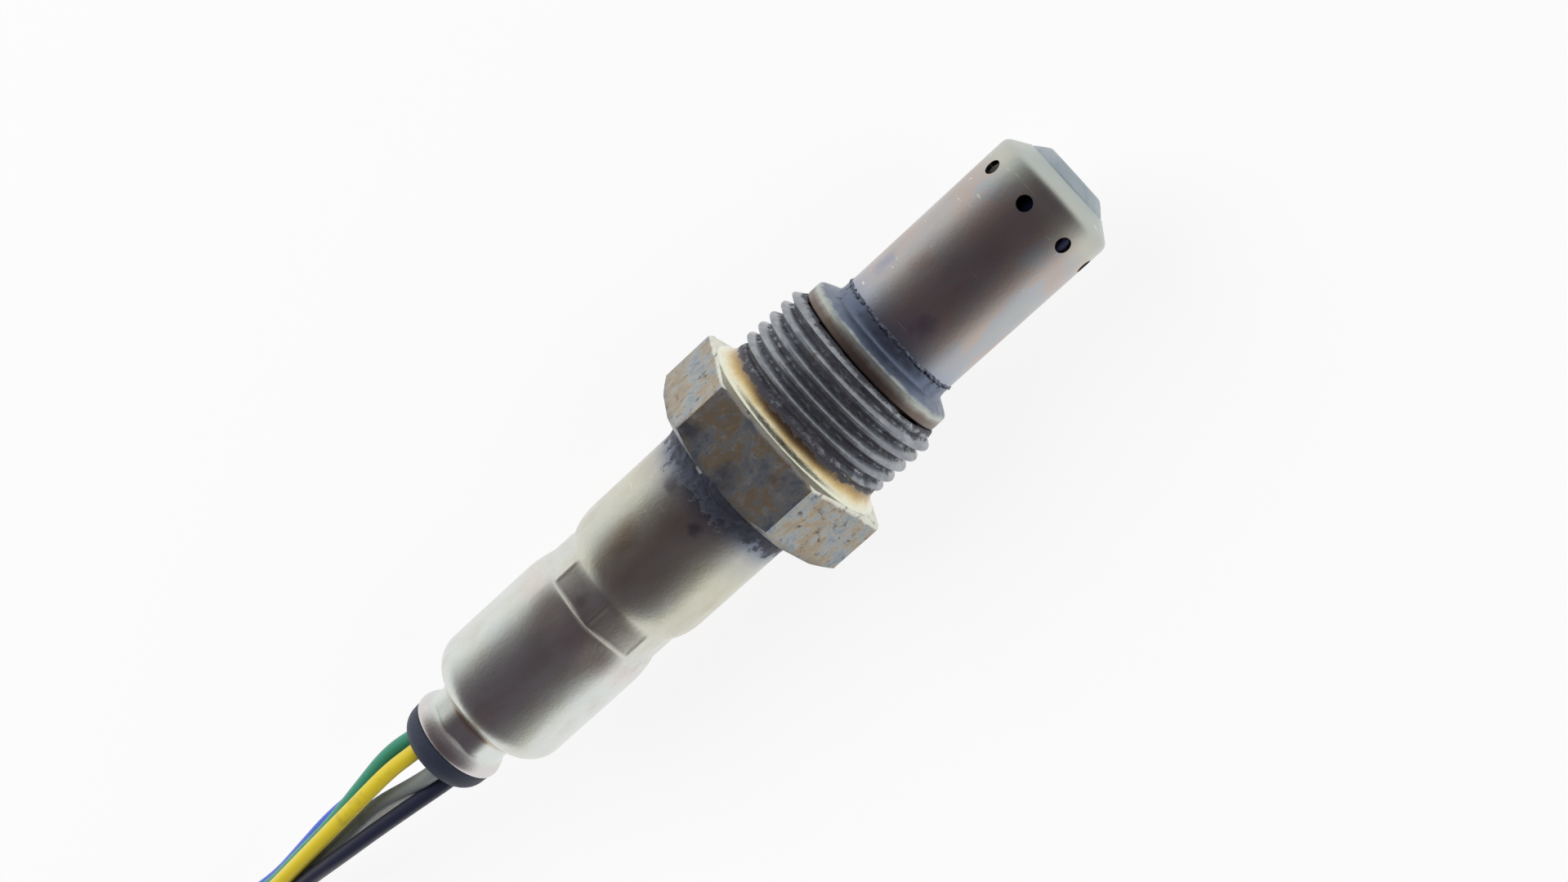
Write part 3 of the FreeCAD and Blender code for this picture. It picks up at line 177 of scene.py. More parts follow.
def used_steel(name, tints, patch, roughness, stretch=(1.0, 1.0, 1.0), dirt="#2b2622", dirt_level=0.62,
               relief=0.00004, bands=(), soot=(), stains=(), groove=(), shine=1.0, scratches=0.0,
               mottle=0.62):
    """Stainless steel that has been hot: a thin oxide tint in patches, dull dirt in spots, fine scratches.

    The tint varies over `patch` millimetres, is drawn out by `stretch` and broken up by `mottle`. Bands
    are colours laid over it along the probe, stains are round patches, and the dirt is matt and takes the
    shine off. Soot is how much thicker it lies along the probe, and groove the radii between which it
    fills up.
    """
    material, tree, place = new_material(name)
    drawn = add(tree, "ShaderNodeMapping", inputs={"Vector": place, "Scale": stretch})
    tint_noise = add(tree, "ShaderNodeTexNoise", inputs={
        "Vector": drawn.outputs["Vector"], "Scale": per_mm(patch), "Detail": 8.0, "Roughness": mottle,
        "Distortion": 0.3})
    tint = add(tree, "ShaderNodeValToRGB", inputs={"Fac": tint_noise.outputs["Fac"]}, stops=tints)
    layers = []
    if bands:
        band = along(tree, place, bands)
        layers.append((band.outputs["Alpha"], band.outputs["Color"]))
    for spot, radius, stain in stains:
        mask = near(tree, place, spot, radius)
        strength = add(tree, "ShaderNodeMath", {"operation": "MULTIPLY"}, {
            0: mask.outputs["Result"], 1: linear(stain)[3]})
        layers.append((strength.outputs["Value"], linear(stain)))
    spots = add(tree, "ShaderNodeTexNoise", inputs={
        "Vector": place, "Scale": per_mm(1.1), "Detail": 8.0, "Roughness": 0.7})
    thickness = spots.outputs["Fac"]
    if soot:
        layer = along(tree, place, soot, ragged=0.7)
        thickness = add(tree, "ShaderNodeMath", {"operation": "MULTIPLY_ADD"}, {
            0: layer.outputs["Alpha"], 1: 0.5, 2: thickness}).outputs["Value"]
    if groove:
        across = add(tree, "ShaderNodeMapping", inputs={"Vector": place, "Scale": (0.0, 1.0, 1.0)})
        radius = add(tree, "ShaderNodeVectorMath", {"operation": "LENGTH"}, {0: across.outputs["Vector"]})
        filled = add(tree, "ShaderNodeMapRange", inputs={
            "Value": radius.outputs["Value"], "From Min": groove[1] * MM, "From Max": groove[0] * MM,
            "To Max": 0.24})
        thickness = add(tree, "ShaderNodeMath", {"operation": "ADD"}, {
            0: filled.outputs["Result"], 1: thickness}).outputs["Value"]
    spot_mask = add(tree, "ShaderNodeMapRange", inputs={
        "Value": thickness, "From Min": dirt_level, "From Max": dirt_level + 0.12})
    layers.append((spot_mask.outputs["Result"], linear(dirt)))
    if scratches:
        fibres = add(tree, "ShaderNodeMapping", inputs={
            "Vector": place, "Rotation": (0.5, 0.3, 0.9), "Scale": (1.0, 0.06, 0.5)})
        lines = add(tree, "ShaderNodeTexNoise", inputs={
            "Vector": fibres.outputs["Vector"], "Scale": per_mm(0.55), "Detail": 2.0})
        cut = add(tree, "ShaderNodeMapRange", inputs={
            "Value": lines.outputs["Fac"], "From Min": 0.70, "From Max": 0.74, "To Max": scratches})
        layers.append((cut.outputs["Result"], linear("#f2efe9")))
    colour = tint.outputs["Color"]
    for share, over in layers:
        colour = add(tree, "ShaderNodeMix", {"data_type": "RGBA"}, {0: share, 6: colour, 7: over}).outputs[2]
    metal = add(tree, "ShaderNodeMapRange", inputs={
        "Value": spot_mask.outputs["Result"], "To Min": shine, "To Max": 0.25})
    # The oxide's grain, drawn coarser than it is, so that it shows
    fine = add(tree, "ShaderNodeTexNoise", inputs={
        "Vector": place, "Scale": per_mm(0.35), "Detail": 4.0, "Roughness": 0.6})
    polish = add(tree, "ShaderNodeTexNoise", inputs={
        "Vector": drawn.outputs["Vector"], "Scale": per_mm(patch * 0.5), "Detail": 3.0})
    rough_patch = add(tree, "ShaderNodeMapRange", inputs={
        "Value": polish.outputs["Fac"], "From Min": 0.3, "From Max": 0.7,
        "To Min": roughness[0], "To Max": roughness[1]})
    rough = add(tree, "ShaderNodeMath", {"operation": "MULTIPLY_ADD", "use_clamp": True}, {
        0: spot_mask.outputs["Result"], 1: 0.3, 2: rough_patch.outputs["Result"]})
    heights = add(tree, "ShaderNodeMath", {"operation": "MULTIPLY_ADD"}, {
        0: thickness, 1: 0.8, 2: fine.outputs["Fac"]})
    bump = add(tree, "ShaderNodeBump", inputs={
        "Height": heights.outputs["Value"], "Strength": 0.35, "Distance": relief})
    shader = add(tree, "ShaderNodeBsdfPrincipled", inputs={
        "Base Color": colour, "Metallic": metal.outputs["Result"],
        "Roughness": rough.outputs["Value"], "Normal": bump.outputs["Normal"]})
    add(tree, "ShaderNodeOutputMaterial", inputs={"Surface": shader.outputs["BSDF"]})
    return material


def moulded(name, colour, roughness, grain=0.25, relief=0.00002, grime="#3a3733", grime_level=0.6):
    """Moulded plastic, rubber or ceramic: an even body colour, a fine grain and a little handling grime.

    The grain is in millimetres and drawn coarser than it is, so that it shows.
    """
    material, tree, place = new_material(name)
    clouds = add(tree, "ShaderNodeTexNoise", inputs={
        "Vector": place, "Scale": per_mm(3.0), "Detail": 6.0, "Roughness": 0.65})
    mask = add(tree, "ShaderNodeMapRange", inputs={
        "Value": clouds.outputs["Fac"], "From Min": grime_level, "From Max": grime_level + 0.25,
        "To Max": 0.55})
    mixed = add(tree, "ShaderNodeMix", {"data_type": "RGBA"}, {
        0: mask.outputs["Result"], 6: colour, 7: linear(grime)})
    fine = add(tree, "ShaderNodeTexNoise", inputs={"Vector": place, "Scale": per_mm(grain), "Detail": 3.0})
    rough = add(tree, "ShaderNodeMapRange", inputs={
        "Value": fine.outputs["Fac"], "To Min": roughness - 0.08, "To Max": roughness + 0.12})
    bump = add(tree, "ShaderNodeBump", inputs={
        "Height": fine.outputs["Fac"], "Strength": 0.3, "Distance": relief})
    shader = add(tree, "ShaderNodeBsdfPrincipled", inputs={
        "Base Color": mixed.outputs[2], "Roughness": rough.outputs["Result"],
        "Normal": bump.outputs["Normal"], "IOR": 1.5})
    add(tree, "ShaderNodeOutputMaterial", inputs={"Surface": shader.outputs["BSDF"]})
    return material


def make_materials():
    """Every finish of the object, by the record's slot or by the piece's own name."""
    steel = used_steel
    finishes = {
        # Mottled oxide over turned steel: brown and blue-grey clouds, pale where the front is faced
        "screw_steel": steel("heat_stained_hexagon_steel", [
            (0.28, "#566372"), (0.40, "#858f99"), (0.48, "#a1a4a1"), (0.55, "#a38e6d"), (0.63, "#989b9b"),
            (0.74, "#727f90")],
            2.6, (0.3, 0.44), stretch=(0.75, 1.0, 1.0), dirt="#4a4449", dirt_level=0.555, shine=0.84,
            mottle=0.83, relief=0.00003,
            bands=[(-12.4, "#54556088"), (-11.3, "#6c6c7000"), (-5.75, "#e6e6d800"), (-5.5, "#e6e6d8dd"),
                   (-5.0, "#e6e6d8ff")],
            stains=[((-10.8, 5.5, 10.8), 2.4, "#4b5466bb"), ((-11.0, 0.0, 11.0), 2.2, "#4b5466aa"),
                    ((-7.6, -3.5, 11.0), 1.4, "#96704a77")]),
        # The faced front of the screw runs down to a gold-tinted neck and its burnt run-out
        "flange_steel": steel("gold_tinted_neck_steel", [
            (0.30, "#cdb578"), (0.50, "#dcc791"), (0.70, "#eadfb9")], 2.5, (0.16, 0.28),
            dirt="#4f4b50", dirt_level=0.66,
            bands=[(-5.4, "#dfe2d2ff"), (-5.0, "#e9e9d2ff"), (-4.7, "#e4dab8ff"), (-4.4, "#cfb98aff"),
                   (-4.1, "#b59a6bff"), (-3.8, "#998566ff"), (-3.5, "#80776cff"), (-3.3, "#6f6c70ff")],
            soot=[(-4.3, "#00000000"), (-3.85, "#00000022"), (-3.6, "#00000088"), (-3.3, "#000000dd")]),
        # Cut thread, dull with burnt-on dirt in its roots and run-out
        "thread_steel": steel("cut_thread_steel", [
            (0.30, "#7d828a"), (0.48, "#8e9298"), (0.60, "#a5a9ae"), (0.72, "#85817e")],
            1.5, (0.26, 0.4), dirt="#4a4951", shine=0.92,
            groove=(9.1, 9.6), soot=[(-3.6, "#000000dd"), (-3.2, "#00000077"), (-2.7, "#00000011"),
                                     (-2.0, "#00000000")]),
        # Turned collar: brown oxide, a painted pale highlight along the rounded front edge, then the matt
        # slate-blue neck
        "housing_steel": steel("heat_tinted_collar_steel", [
            (0.30, "#a5a09c"), (0.5, "#b4ada4"), (0.7, "#9aa0a8")],
            2.2, (0.3, 0.44), dirt="#3a3c49", dirt_level=0.68, relief=0.00006, shine=0.92,
            # Painted highlight: the pale bands from X 5.85 to 6.65 lie on the rounded front edge
            bands=[(4.8, "#6c605aff"), (5.5, "#766961ff"), (5.85, "#95918add"), (6.1, "#bcc1b8ee"),
                   (6.4, "#acb3b0ee"), (6.65, "#6d778aff"), (8.9, "#6b768bff")],
            soot=[(6.2, "#00000000"), (6.9, "#0000002c"), (8.9, "#00000044")]),
        # Drawn tube, purple-brown from heat behind the holes and paler towards the cone
        "tube_steel": steel("heat_tinted_tube_steel", [
            (0.28, "#b1afaf"), (0.42, "#b8b3b0"), (0.52, "#beafa7"), (0.60, "#b0b4b9"), (0.74, "#b9b9b2")],
            6.0, (0.26, 0.38), stretch=(0.45, 1.0, 1.0), dirt="#4b4749", dirt_level=0.7, scratches=0.5,
            bands=[(8.6, "#8f9bb2cc"), (10.0, "#a2abba88"), (13.0, "#b0aeb200"), (24.0, "#b8b5ad00"),
                   (27.0, "#c6c9bcaa"), (28.6, "#b9c0b8cc"), (30.0, "#aeb6b2ff")],
            stains=[((12.6, 5.6, 4.2), 2.2, "#8496b688"), ((15.5, 3.0, 6.2), 2.6, "#b08f8055"),
                    ((21.0, -1.0, 6.9), 3.0, "#b0968b44"), ((11.5, -1.8, 6.8), 2.2, "#8a8294aa")]),
        # Plain satin nose, with painted shade: blue-black over the length inside the outer tube, seen through
        # its holes
        "inner_tube_steel": steel("satin_inner_tube_steel", [
            (0.3, "#8f9aa2"), (0.5, "#9da8ae"), (0.7, "#a9b2b5")], 2.0, (0.3, 0.42),
            dirt="#54555c", dirt_level=0.68,
            # Painted shade: the blue-black band lies over the length hidden in the outer tube
            bands=[(11.0, "#34375cff"), (27.8, "#34375cff"), (28.6, "#b7c0c400"), (31.1, "#b7c0c400")]),
        # Drawn sleeve: olive-grey satin with brown clouds, burnt crust by the screw, cooler barrel, a painted
        # pinkish highlight on the barrel's front shoulder and a painted bronze reflection at its rear corner
        "sleeve_steel": steel("drawn_sleeve_steel", [
            (0.28, "#bdb8a4"), (0.43, "#cfcdbf"), (0.56, "#d6d9d5"), (0.72, "#c6b5a6")],
            5.0, (0.2, 0.32), stretch=(0.6, 1.0, 1.0), dirt="#3d404c", dirt_level=0.69, relief=0.00005,
            scratches=0.3,
            bands=[(-53.7, "#dcd3d5aa"), (-52.0, "#d9d6d7aa"), (-51.6, "#dfe4e2aa"), (-49.9, "#dfe4e2aa"),
                   # Painted reflection: the bronze band from X -49.5 to -49.0 on the corner between barrel
                   # and neck
                   (-49.5, "#c6a276dd"), (-49.0, "#cda984dd"), (-48.7, "#e0e6e466"), (-36.5, "#e0e6e466"),
                   # Painted highlight: the pinkish tint at X -34.5 on the barrel's front shoulder
                   (-34.5, "#e6dcdc66"), (-30.0, "#dbdcd433"), (-27.0, "#cbc9b566"), (-20.0, "#c7c4ac88"),
                   (-17.0, "#a9a69f99"), (-15.4, "#777e8edd"), (-14.2, "#5c6376ff"), (-12.0, "#565d70ff")],
            soot=[(-19.0, "#00000000"), (-17.0, "#0000001c"), (-15.6, "#00000048"), (-14.7, "#00000088"),
                  (-13.9, "#000000bb"), (-12.2, "#000000cc")],
            stains=[((-17.4, -1.5, 7.8), 1.3, "#62606faa"), ((-16.3, 3.2, 7.2), 1.6, "#6c6875aa"),
                    ((-23.5, 2.5, 7.5), 3.2, "#a58b7277"), ((-30.9, 1.0, 7.2), 1.6, "#9a948e88")]),
        # Weld spatter: small dark slate grains, dull all over
        "weld_steel": steel("weld_spatter_steel", [
            (0.3, "#4c5365"), (0.5, "#6a7080"), (0.65, "#8a8f98"), (0.8, "#9a9ea2")],
            0.5, (0.35, 0.55), dirt="#1f2029", dirt_level=0.5, relief=0.00009),
        # Rolled spring steel: clean, even satin grey
        "plain_steel": steel("satin_spring_steel", [
            (0.3, "#a5a5a5"), (0.7, "#c5c5c3")], 3.0, (0.25, 0.35), dirt_level=0.8),
        # Stamped copper alloy: pale brass with a soft sheen
        "contact_metal": steel("stamped_contact_alloy", [
            (0.3, "#b5a068"), (0.7, "#d9c68c")], 2.0, (0.22, 0.34), dirt_level=0.8),
        # Sintered ceramics and pressed talc: matt off-whites, the talc the greyest and driest
        "zirconia": moulded("sintered_zirconia", linear("#e6e3da"), 0.55, grime_level=0.75),
        "alumina": moulded("sintered_alumina", linear("#efece2"), 0.6, grime_level=0.75),
        "talc": moulded("pressed_talc", linear("#cfccc2"), 0.8, grime_level=0.75),
        # Moulded rubber: blue-black and half matt, greyed by dust
        "black_rubber": moulded("moulded_black_rubber", linear("#2c3242"), 0.55, grime="#4b5262"),
        # Moulded nylons: near black, the ties a little glossier than the filled housing
        "tie_nylon": moulded("moulded_black_nylon", linear("#17181a"), 0.42),
        "connector_plastic": moulded("moulded_glass_filled_nylon", linear("#1c1d20"), 0.5),
        # The plug's lock in plain grey and its seals in orange, both with a soft sheen
        "wedge_plastic": moulded("moulded_grey_plastic", linear("#9a9ca0"), 0.5),
        "seal_silicone": moulded("moulded_orange_silicone", linear("#c9602a"), 0.5),
    }
    # Extruded insulation: strong smooth colour with a gentle gloss and smears of soot
    for lead in LEADS:
        colour = list(getattr(bpy.context.scene.probe_colours, lead))
        finishes["wire_" + lead] = moulded(
            "extruded_" + lead + "_insulation", colour, 0.36, grain=0.9, relief=0.00001, grime_level=0.56)
    return finishes


def finish_of(slot):
    """The finish of a slot, made once."""
    if not FINISHES:
        FINISHES.update(make_materials())
    return FINISHES[slot]


FINISHES = {}


# Modelling


def deselect():
    if bpy.context.object and bpy.context.object.mode != "OBJECT":
        bpy.ops.object.mode_set(mode="OBJECT")
    bpy.ops.object.select_all(action="DESELECT")


def pick(piece):
    """Make a piece the only selected and the active one."""
    deselect()
    piece.select_set(True)
    bpy.context.view_layer.objects.active = piece


def apply_all(piece):
    """Apply every modifier of a piece."""
    pick(piece)
    for modifier in list(piece.modifiers):
        bpy.ops.object.modifier_apply(modifier=modifier.name)


def settle(piece, name, body, slot, stands_for=(), angle=35):
    """Place in the mesh, smooth faces, a finish, a body to ride on, and the nodes that it stands for."""
    pick(piece)
    bpy.ops.object.transform_apply(location=True, rotation=True, scale=True)
    piece.name = name
    piece.data.name = name
    if piece.type == "MESH":
        bpy.ops.object.shade_smooth_by_angle(angle=math.radians(angle))
    piece.data.materials.clear()
    piece.data.materials.append(finish_of(slot))
    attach(piece, body)
    if stands_for:
        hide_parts(*stands_for)
    return piece


def turned(stations, segments=SEGMENTS, capped=False):
    """A turned piece: a ring that is extruded and scaled from station to station along X.

    Stations are (X, radius) in millimetres. Where the last is the first again, the piece closes on itself.
    """
    deselect()
    x, radius = stations[0]
    bpy.ops.mesh.primitive_circle_add(
        vertices=segments, radius=radius * MM, location=(x * MM, 0, 0), rotation=(0, math.pi / 2, 0))
    piece = bpy.context.object
    bpy.ops.object.transform_apply(location=True, rotation=True, scale=True)
    bpy.ops.object.mode_set(mode="EDIT")
    for (x, radius), (next_x, next_radius) in zip(stations, stations[1:]):
        bpy.ops.mesh.extrude_region_move(TRANSFORM_OT_translate={"value": ((next_x - x) * MM, 0, 0)})
        ratio = next_radius / radius
        bpy.ops.transform.resize(value=(1, ratio, ratio), center_override=(next_x * MM, 0, 0))
    if capped:
        bpy.ops.mesh.edge_face_add()
        bpy.ops.mesh.select_all(action="DESELECT")
        bpy.ops.object.mode_set(mode="OBJECT")
        for vertex in piece.data.vertices:
            vertex.select = abs(vertex.co.x - stations[0][0] * MM) < 1e-7
        bpy.ops.object.mode_set(mode="EDIT")
        bpy.ops.mesh.edge_face_add()
    bpy.ops.mesh.select_all(action="SELECT")
    bpy.ops.mesh.remove_doubles(threshold=1e-6)
    bpy.ops.mesh.normals_make_consistent(inside=False)
    bpy.ops.object.mode_set(mode="OBJECT")
    return piece


def worked_copy(node, name, slot, bevel):
    """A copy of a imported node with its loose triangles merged, smooth faces and softened edges."""
    source = frame["nodes"][node]
    deselect()
    piece = source.copy()
    piece.data = source.data.copy()
    for key in list(piece.keys()):
        if key.startswith("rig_"):
            del piece[key]
    piece.parent = None
    piece.hide_render = False
    piece.hide_viewport = False
    bpy.context.scene.collection.objects.link(piece)
    pick(piece)
    bpy.ops.object.mode_set(mode="EDIT")
    bpy.ops.mesh.select_all(action="SELECT")
    bpy.ops.mesh.remove_doubles(threshold=0.00001)
    bpy.ops.mesh.dissolve_limited(angle_limit=math.radians(0.5))
    bpy.ops.object.mode_set(mode="OBJECT")
    edge = piece.modifiers.new("edge_round", "BEVEL")
    edge.width = bevel
    edge.segments = 2
    edge.limit_method = "ANGLE"
    edge.angle_limit = math.radians(50)
    apply_all(piece)
    return settle(piece, name, "probe", slot, [node])


def carve(piece, tool, operation="DIFFERENCE"):
    """Work one piece with another. The cut is made when its modifiers are applied."""
    cut = piece.modifiers.new("cut", "BOOLEAN")
    cut.operation = operation
    cut.object = tool
    cut.solver = "EXACT"


def drill_out(piece, radius, depth, sides, holes):
    """Drill holes into a piece: each is the middle of a drill and its rotation."""
    drills = []
    for place, rotation in holes:
        deselect()
        bpy.ops.mesh.primitive_cylinder_add(
            vertices=sides, radius=radius * MM, depth=depth * MM, location=place, rotation=rotation)
        drills.append(bpy.context.object)
    deselect()
    for drill in drills:
        drill.select_set(True)
    bpy.context.view_layer.objects.active = drills[0]
    bpy.ops.object.join()
    drill = bpy.context.object
    carve(piece, drill)
    apply_all(piece)
    bpy.data.objects.remove(drill)


def move_points(piece, change):
    """Give every point of a mesh a new radius: change(x, angle, radius), millimetres and radians."""
    for vertex in piece.data.vertices:
        x, y, z = vertex.co / MM
        radius = math.hypot(y, z)
        if radius < 1e-6:
            continue
        angle = math.atan2(z, y)
        new_radius = change(x, angle, radius)
        vertex.co = Vector((x, y * new_radius / radius, z * new_radius / radius)) * MM
    piece.data.update()


def ease(value, low, high):
    """0 below low, 1 above high, smooth between."""
    share = min(1.0, max(0.0, (value - low) / (high - low)))
    return share * share * (3 - 2 * share)


# Leads, in metres where nothing else is said

# Each lead: place round the axis in degrees from the top towards -Y, and its column and row in the bundle
LEADS = {
    "green": (-90, 1, 0),
    "yellow": (-30, 1, 1),
    "grey": (30, -1, 1),
    "black": (90, -1, 0),
    "white": (150, -1, -1),
    "blue": (-150, 1, -1),
}
WIRE_RING = 0.0029
GROMMET_REAR = -0.0564
HANK_MIDDLE = -0.1409
HANK_SIDE = -0.0014
BUNDLE_HEIGHT = -0.0076
BUNDLE_PITCH = 0.0018
CONNECTOR_REAR = -0.1435
CONNECTOR_AXIS = 0.00035
CAVITY_PITCH = 0.0039
CAVITY_ROW = 0.004
# Behind the grommet: X in metres, then each lead's Y and Z there in millimetres. Black crosses over grey
# and white, and blue runs under green.
FAN_STATIONS = (-0.0605, -0.066, -0.072, -0.078, -0.084, -0.090, -0.0975)
FAN = {
    "green": [
        (3.6, 0.0), (2.75, 0.1), (2.1, -1.05), (2.1, -2.6), (1.95, -4.6), (3.1, -5.9), (6.5, -7.2)],
    "yellow": [
        (1.9, 2.3), (1.65, 1.9), (1.5, 0.9), (1.45, -0.9), (1.4, -2.85), (2.65, -4.1), (6.5, -5.4)],
    "grey": [
        (-0.75, 0.8), (0.5, -0.3), (0.1, -0.75), (0.3, -2.9), (0.05, -4.8), (1.1, -5.05), (4.5, -5.45)],
    "black": [
        (-2.4, 1.5), (-1.74, 1.6), (-1.14, 0.9), (-0.4, -1.2), (-0.42, -3.0), (-0.5, -4.2), (3.0, -7.0)],
    "white": [
        (-1.2, -1.6), (-0.25, -2.1), (-0.6, -2.6), (0.1, -4.8), (0.2, -6.65), (0.85, -7.7), (4.5, -9.0)],
    "blue": [
        (2.3, -2.3), (2.55, -2.0), (2.95, -2.75), (2.65, -4.4), (2.45, -6.4), (3.35, -7.75), (6.5, -9.0)],
}
# Then the bundle: X, Y, Z of its middle and its pitch from column to column
FRONT_ROUTE = [
    (-0.1060, 0.0091, -0.0076, 0.00195),
    (-0.1130, 0.0110, -0.00755, 0.0018),
]
# Out of the hank, up to the connector: X from the hank's middle, Y, Z, turn in degrees and spread
TAIL_ROUTE = [
    (0.0220, 0.0040, -0.0076, 0, 1.0),
    (0.0155, 0.0026, -0.0065, 20, 1.1),
    (0.0090, 0.0006, -0.0037, 50, 1.4),
    (0.0030, -0.0009, -0.0009, 78, 1.85),
]
COIL_SIDE = -0.0023
COIL_RUN = 0.028
COIL_RADIUS = 0.0133
COIL_STEP = 0.001775
COIL_WANDER = 0.00012
HALF_TURNS = 4


def ring_place(turn):
    """Y and Z of a lead's hole in the grommet."""
    return -WIRE_RING * math.sin(math.radians(turn)), WIRE_RING * math.cos(math.radians(turn))


def lead_points(name):
    """The control points of one lead from the grommet, round the hank and into the connector."""
    turn, column, row = LEADS[name]
    ring_y, ring_z = ring_place(turn)
    beside = column * BUNDLE_PITCH / 2
    above = row * BUNDLE_PITCH
    points = [(GROMMET_REAR + 0.002, ring_y, ring_z), (GROMMET_REAR, ring_y, ring_z)]
    points += [(x, y * MM, z * MM) for x, (y, z) in zip(FAN_STATIONS, FAN[name])]
    for x, y, z, pitch in FRONT_ROUTE:
        points.append((x, y + column * pitch / 2, z + above))
    height = BUNDLE_HEIGHT + above
    for half_turn in range(HALF_TURNS):
        side = 1 if half_turn % 2 == 0 else -1
        radius = COIL_RADIUS - half_turn * COIL_STEP + beside
        for share in (0.45, 0.0, -0.45):
            wander = COIL_WANDER * math.sin(1.7 * half_turn + 4.1 * share + turn)
            points.append((
                HANK_MIDDLE + side * share * COIL_RUN * 1.3,
                COIL_SIDE + side * (radius + wander),
                height,
            ))
        for step in range(7):
            angle = math.pi / 2 + math.pi * step / 6
            turn_radius = radius - COIL_STEP * step / 6
            points.append((
                HANK_MIDDLE + side * (-COIL_RUN + turn_radius * math.cos(angle)),
                COIL_SIDE + side * turn_radius * math.sin(angle),
                height,
            ))
    for x, y, z, twist, spread in TAIL_ROUTE:
        angle = math.radians(twist)
        points.append((
            HANK_MIDDLE + x,
            y + spread * (beside * math.cos(angle) - above * math.sin(angle)),
            z + spread * (beside * math.sin(angle) + above * math.cos(angle)),
        ))
    y = HANK_SIDE - row * CAVITY_PITCH
    z = CONNECTOR_AXIS + column * CAVITY_ROW / 2
    points += [(CONNECTOR_REAR, y, z), (CONNECTOR_REAR - 0.003, y, z)]
    return points


class ProbeLeads(bpy.types.Operator):
    """Six insulated leads, each one smooth curve from the grommet to the connector."""

    bl_idname = "probe.leads"
    bl_label = "Leads"

    def execute(self, context):
        diameter = context.scene.probe_sizes.lead_diameter
        for name in LEADS:
            points = lead_points(name)
            curve = bpy.data.curves.new("lead_" + name, "CURVE")
            curve.dimensions = "3D"
            curve.bevel_depth = diameter / 2
            curve.bevel_resolution = 5
            curve.use_fill_caps = True
            spline = curve.splines.new("NURBS")
            spline.points.add(len(points) - 1)
            for point, place in zip(spline.points, points):
                point.co = (*place, 1)
            spline.order_u = 3
            spline.use_endpoint_u = True
            spline.resolution_u = 6
            lead = bpy.data.objects.new("lead_" + name, curve)
            context.scene.collection.objects.link(lead)
            curve.materials.append(finish_of("wire_" + name))
            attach(lead, "probe")
            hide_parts("wire_" + name, "wire_hank")
        return {"FINISHED"}


# The screw, in millimetres
ACROSS_FLATS = 22
HEXAGON_REAR, HEXAGON_FRONT = -12.25, -5.35
SCREW_BORE = 8.1
CREST_RADIUS = 10.0
THREAD_START, THREAD_TURNS = -8.5, 9
THREAD_REAR, THREAD_NOSE = -3.4, 4.65
NOSE_RADIUS = 8.95


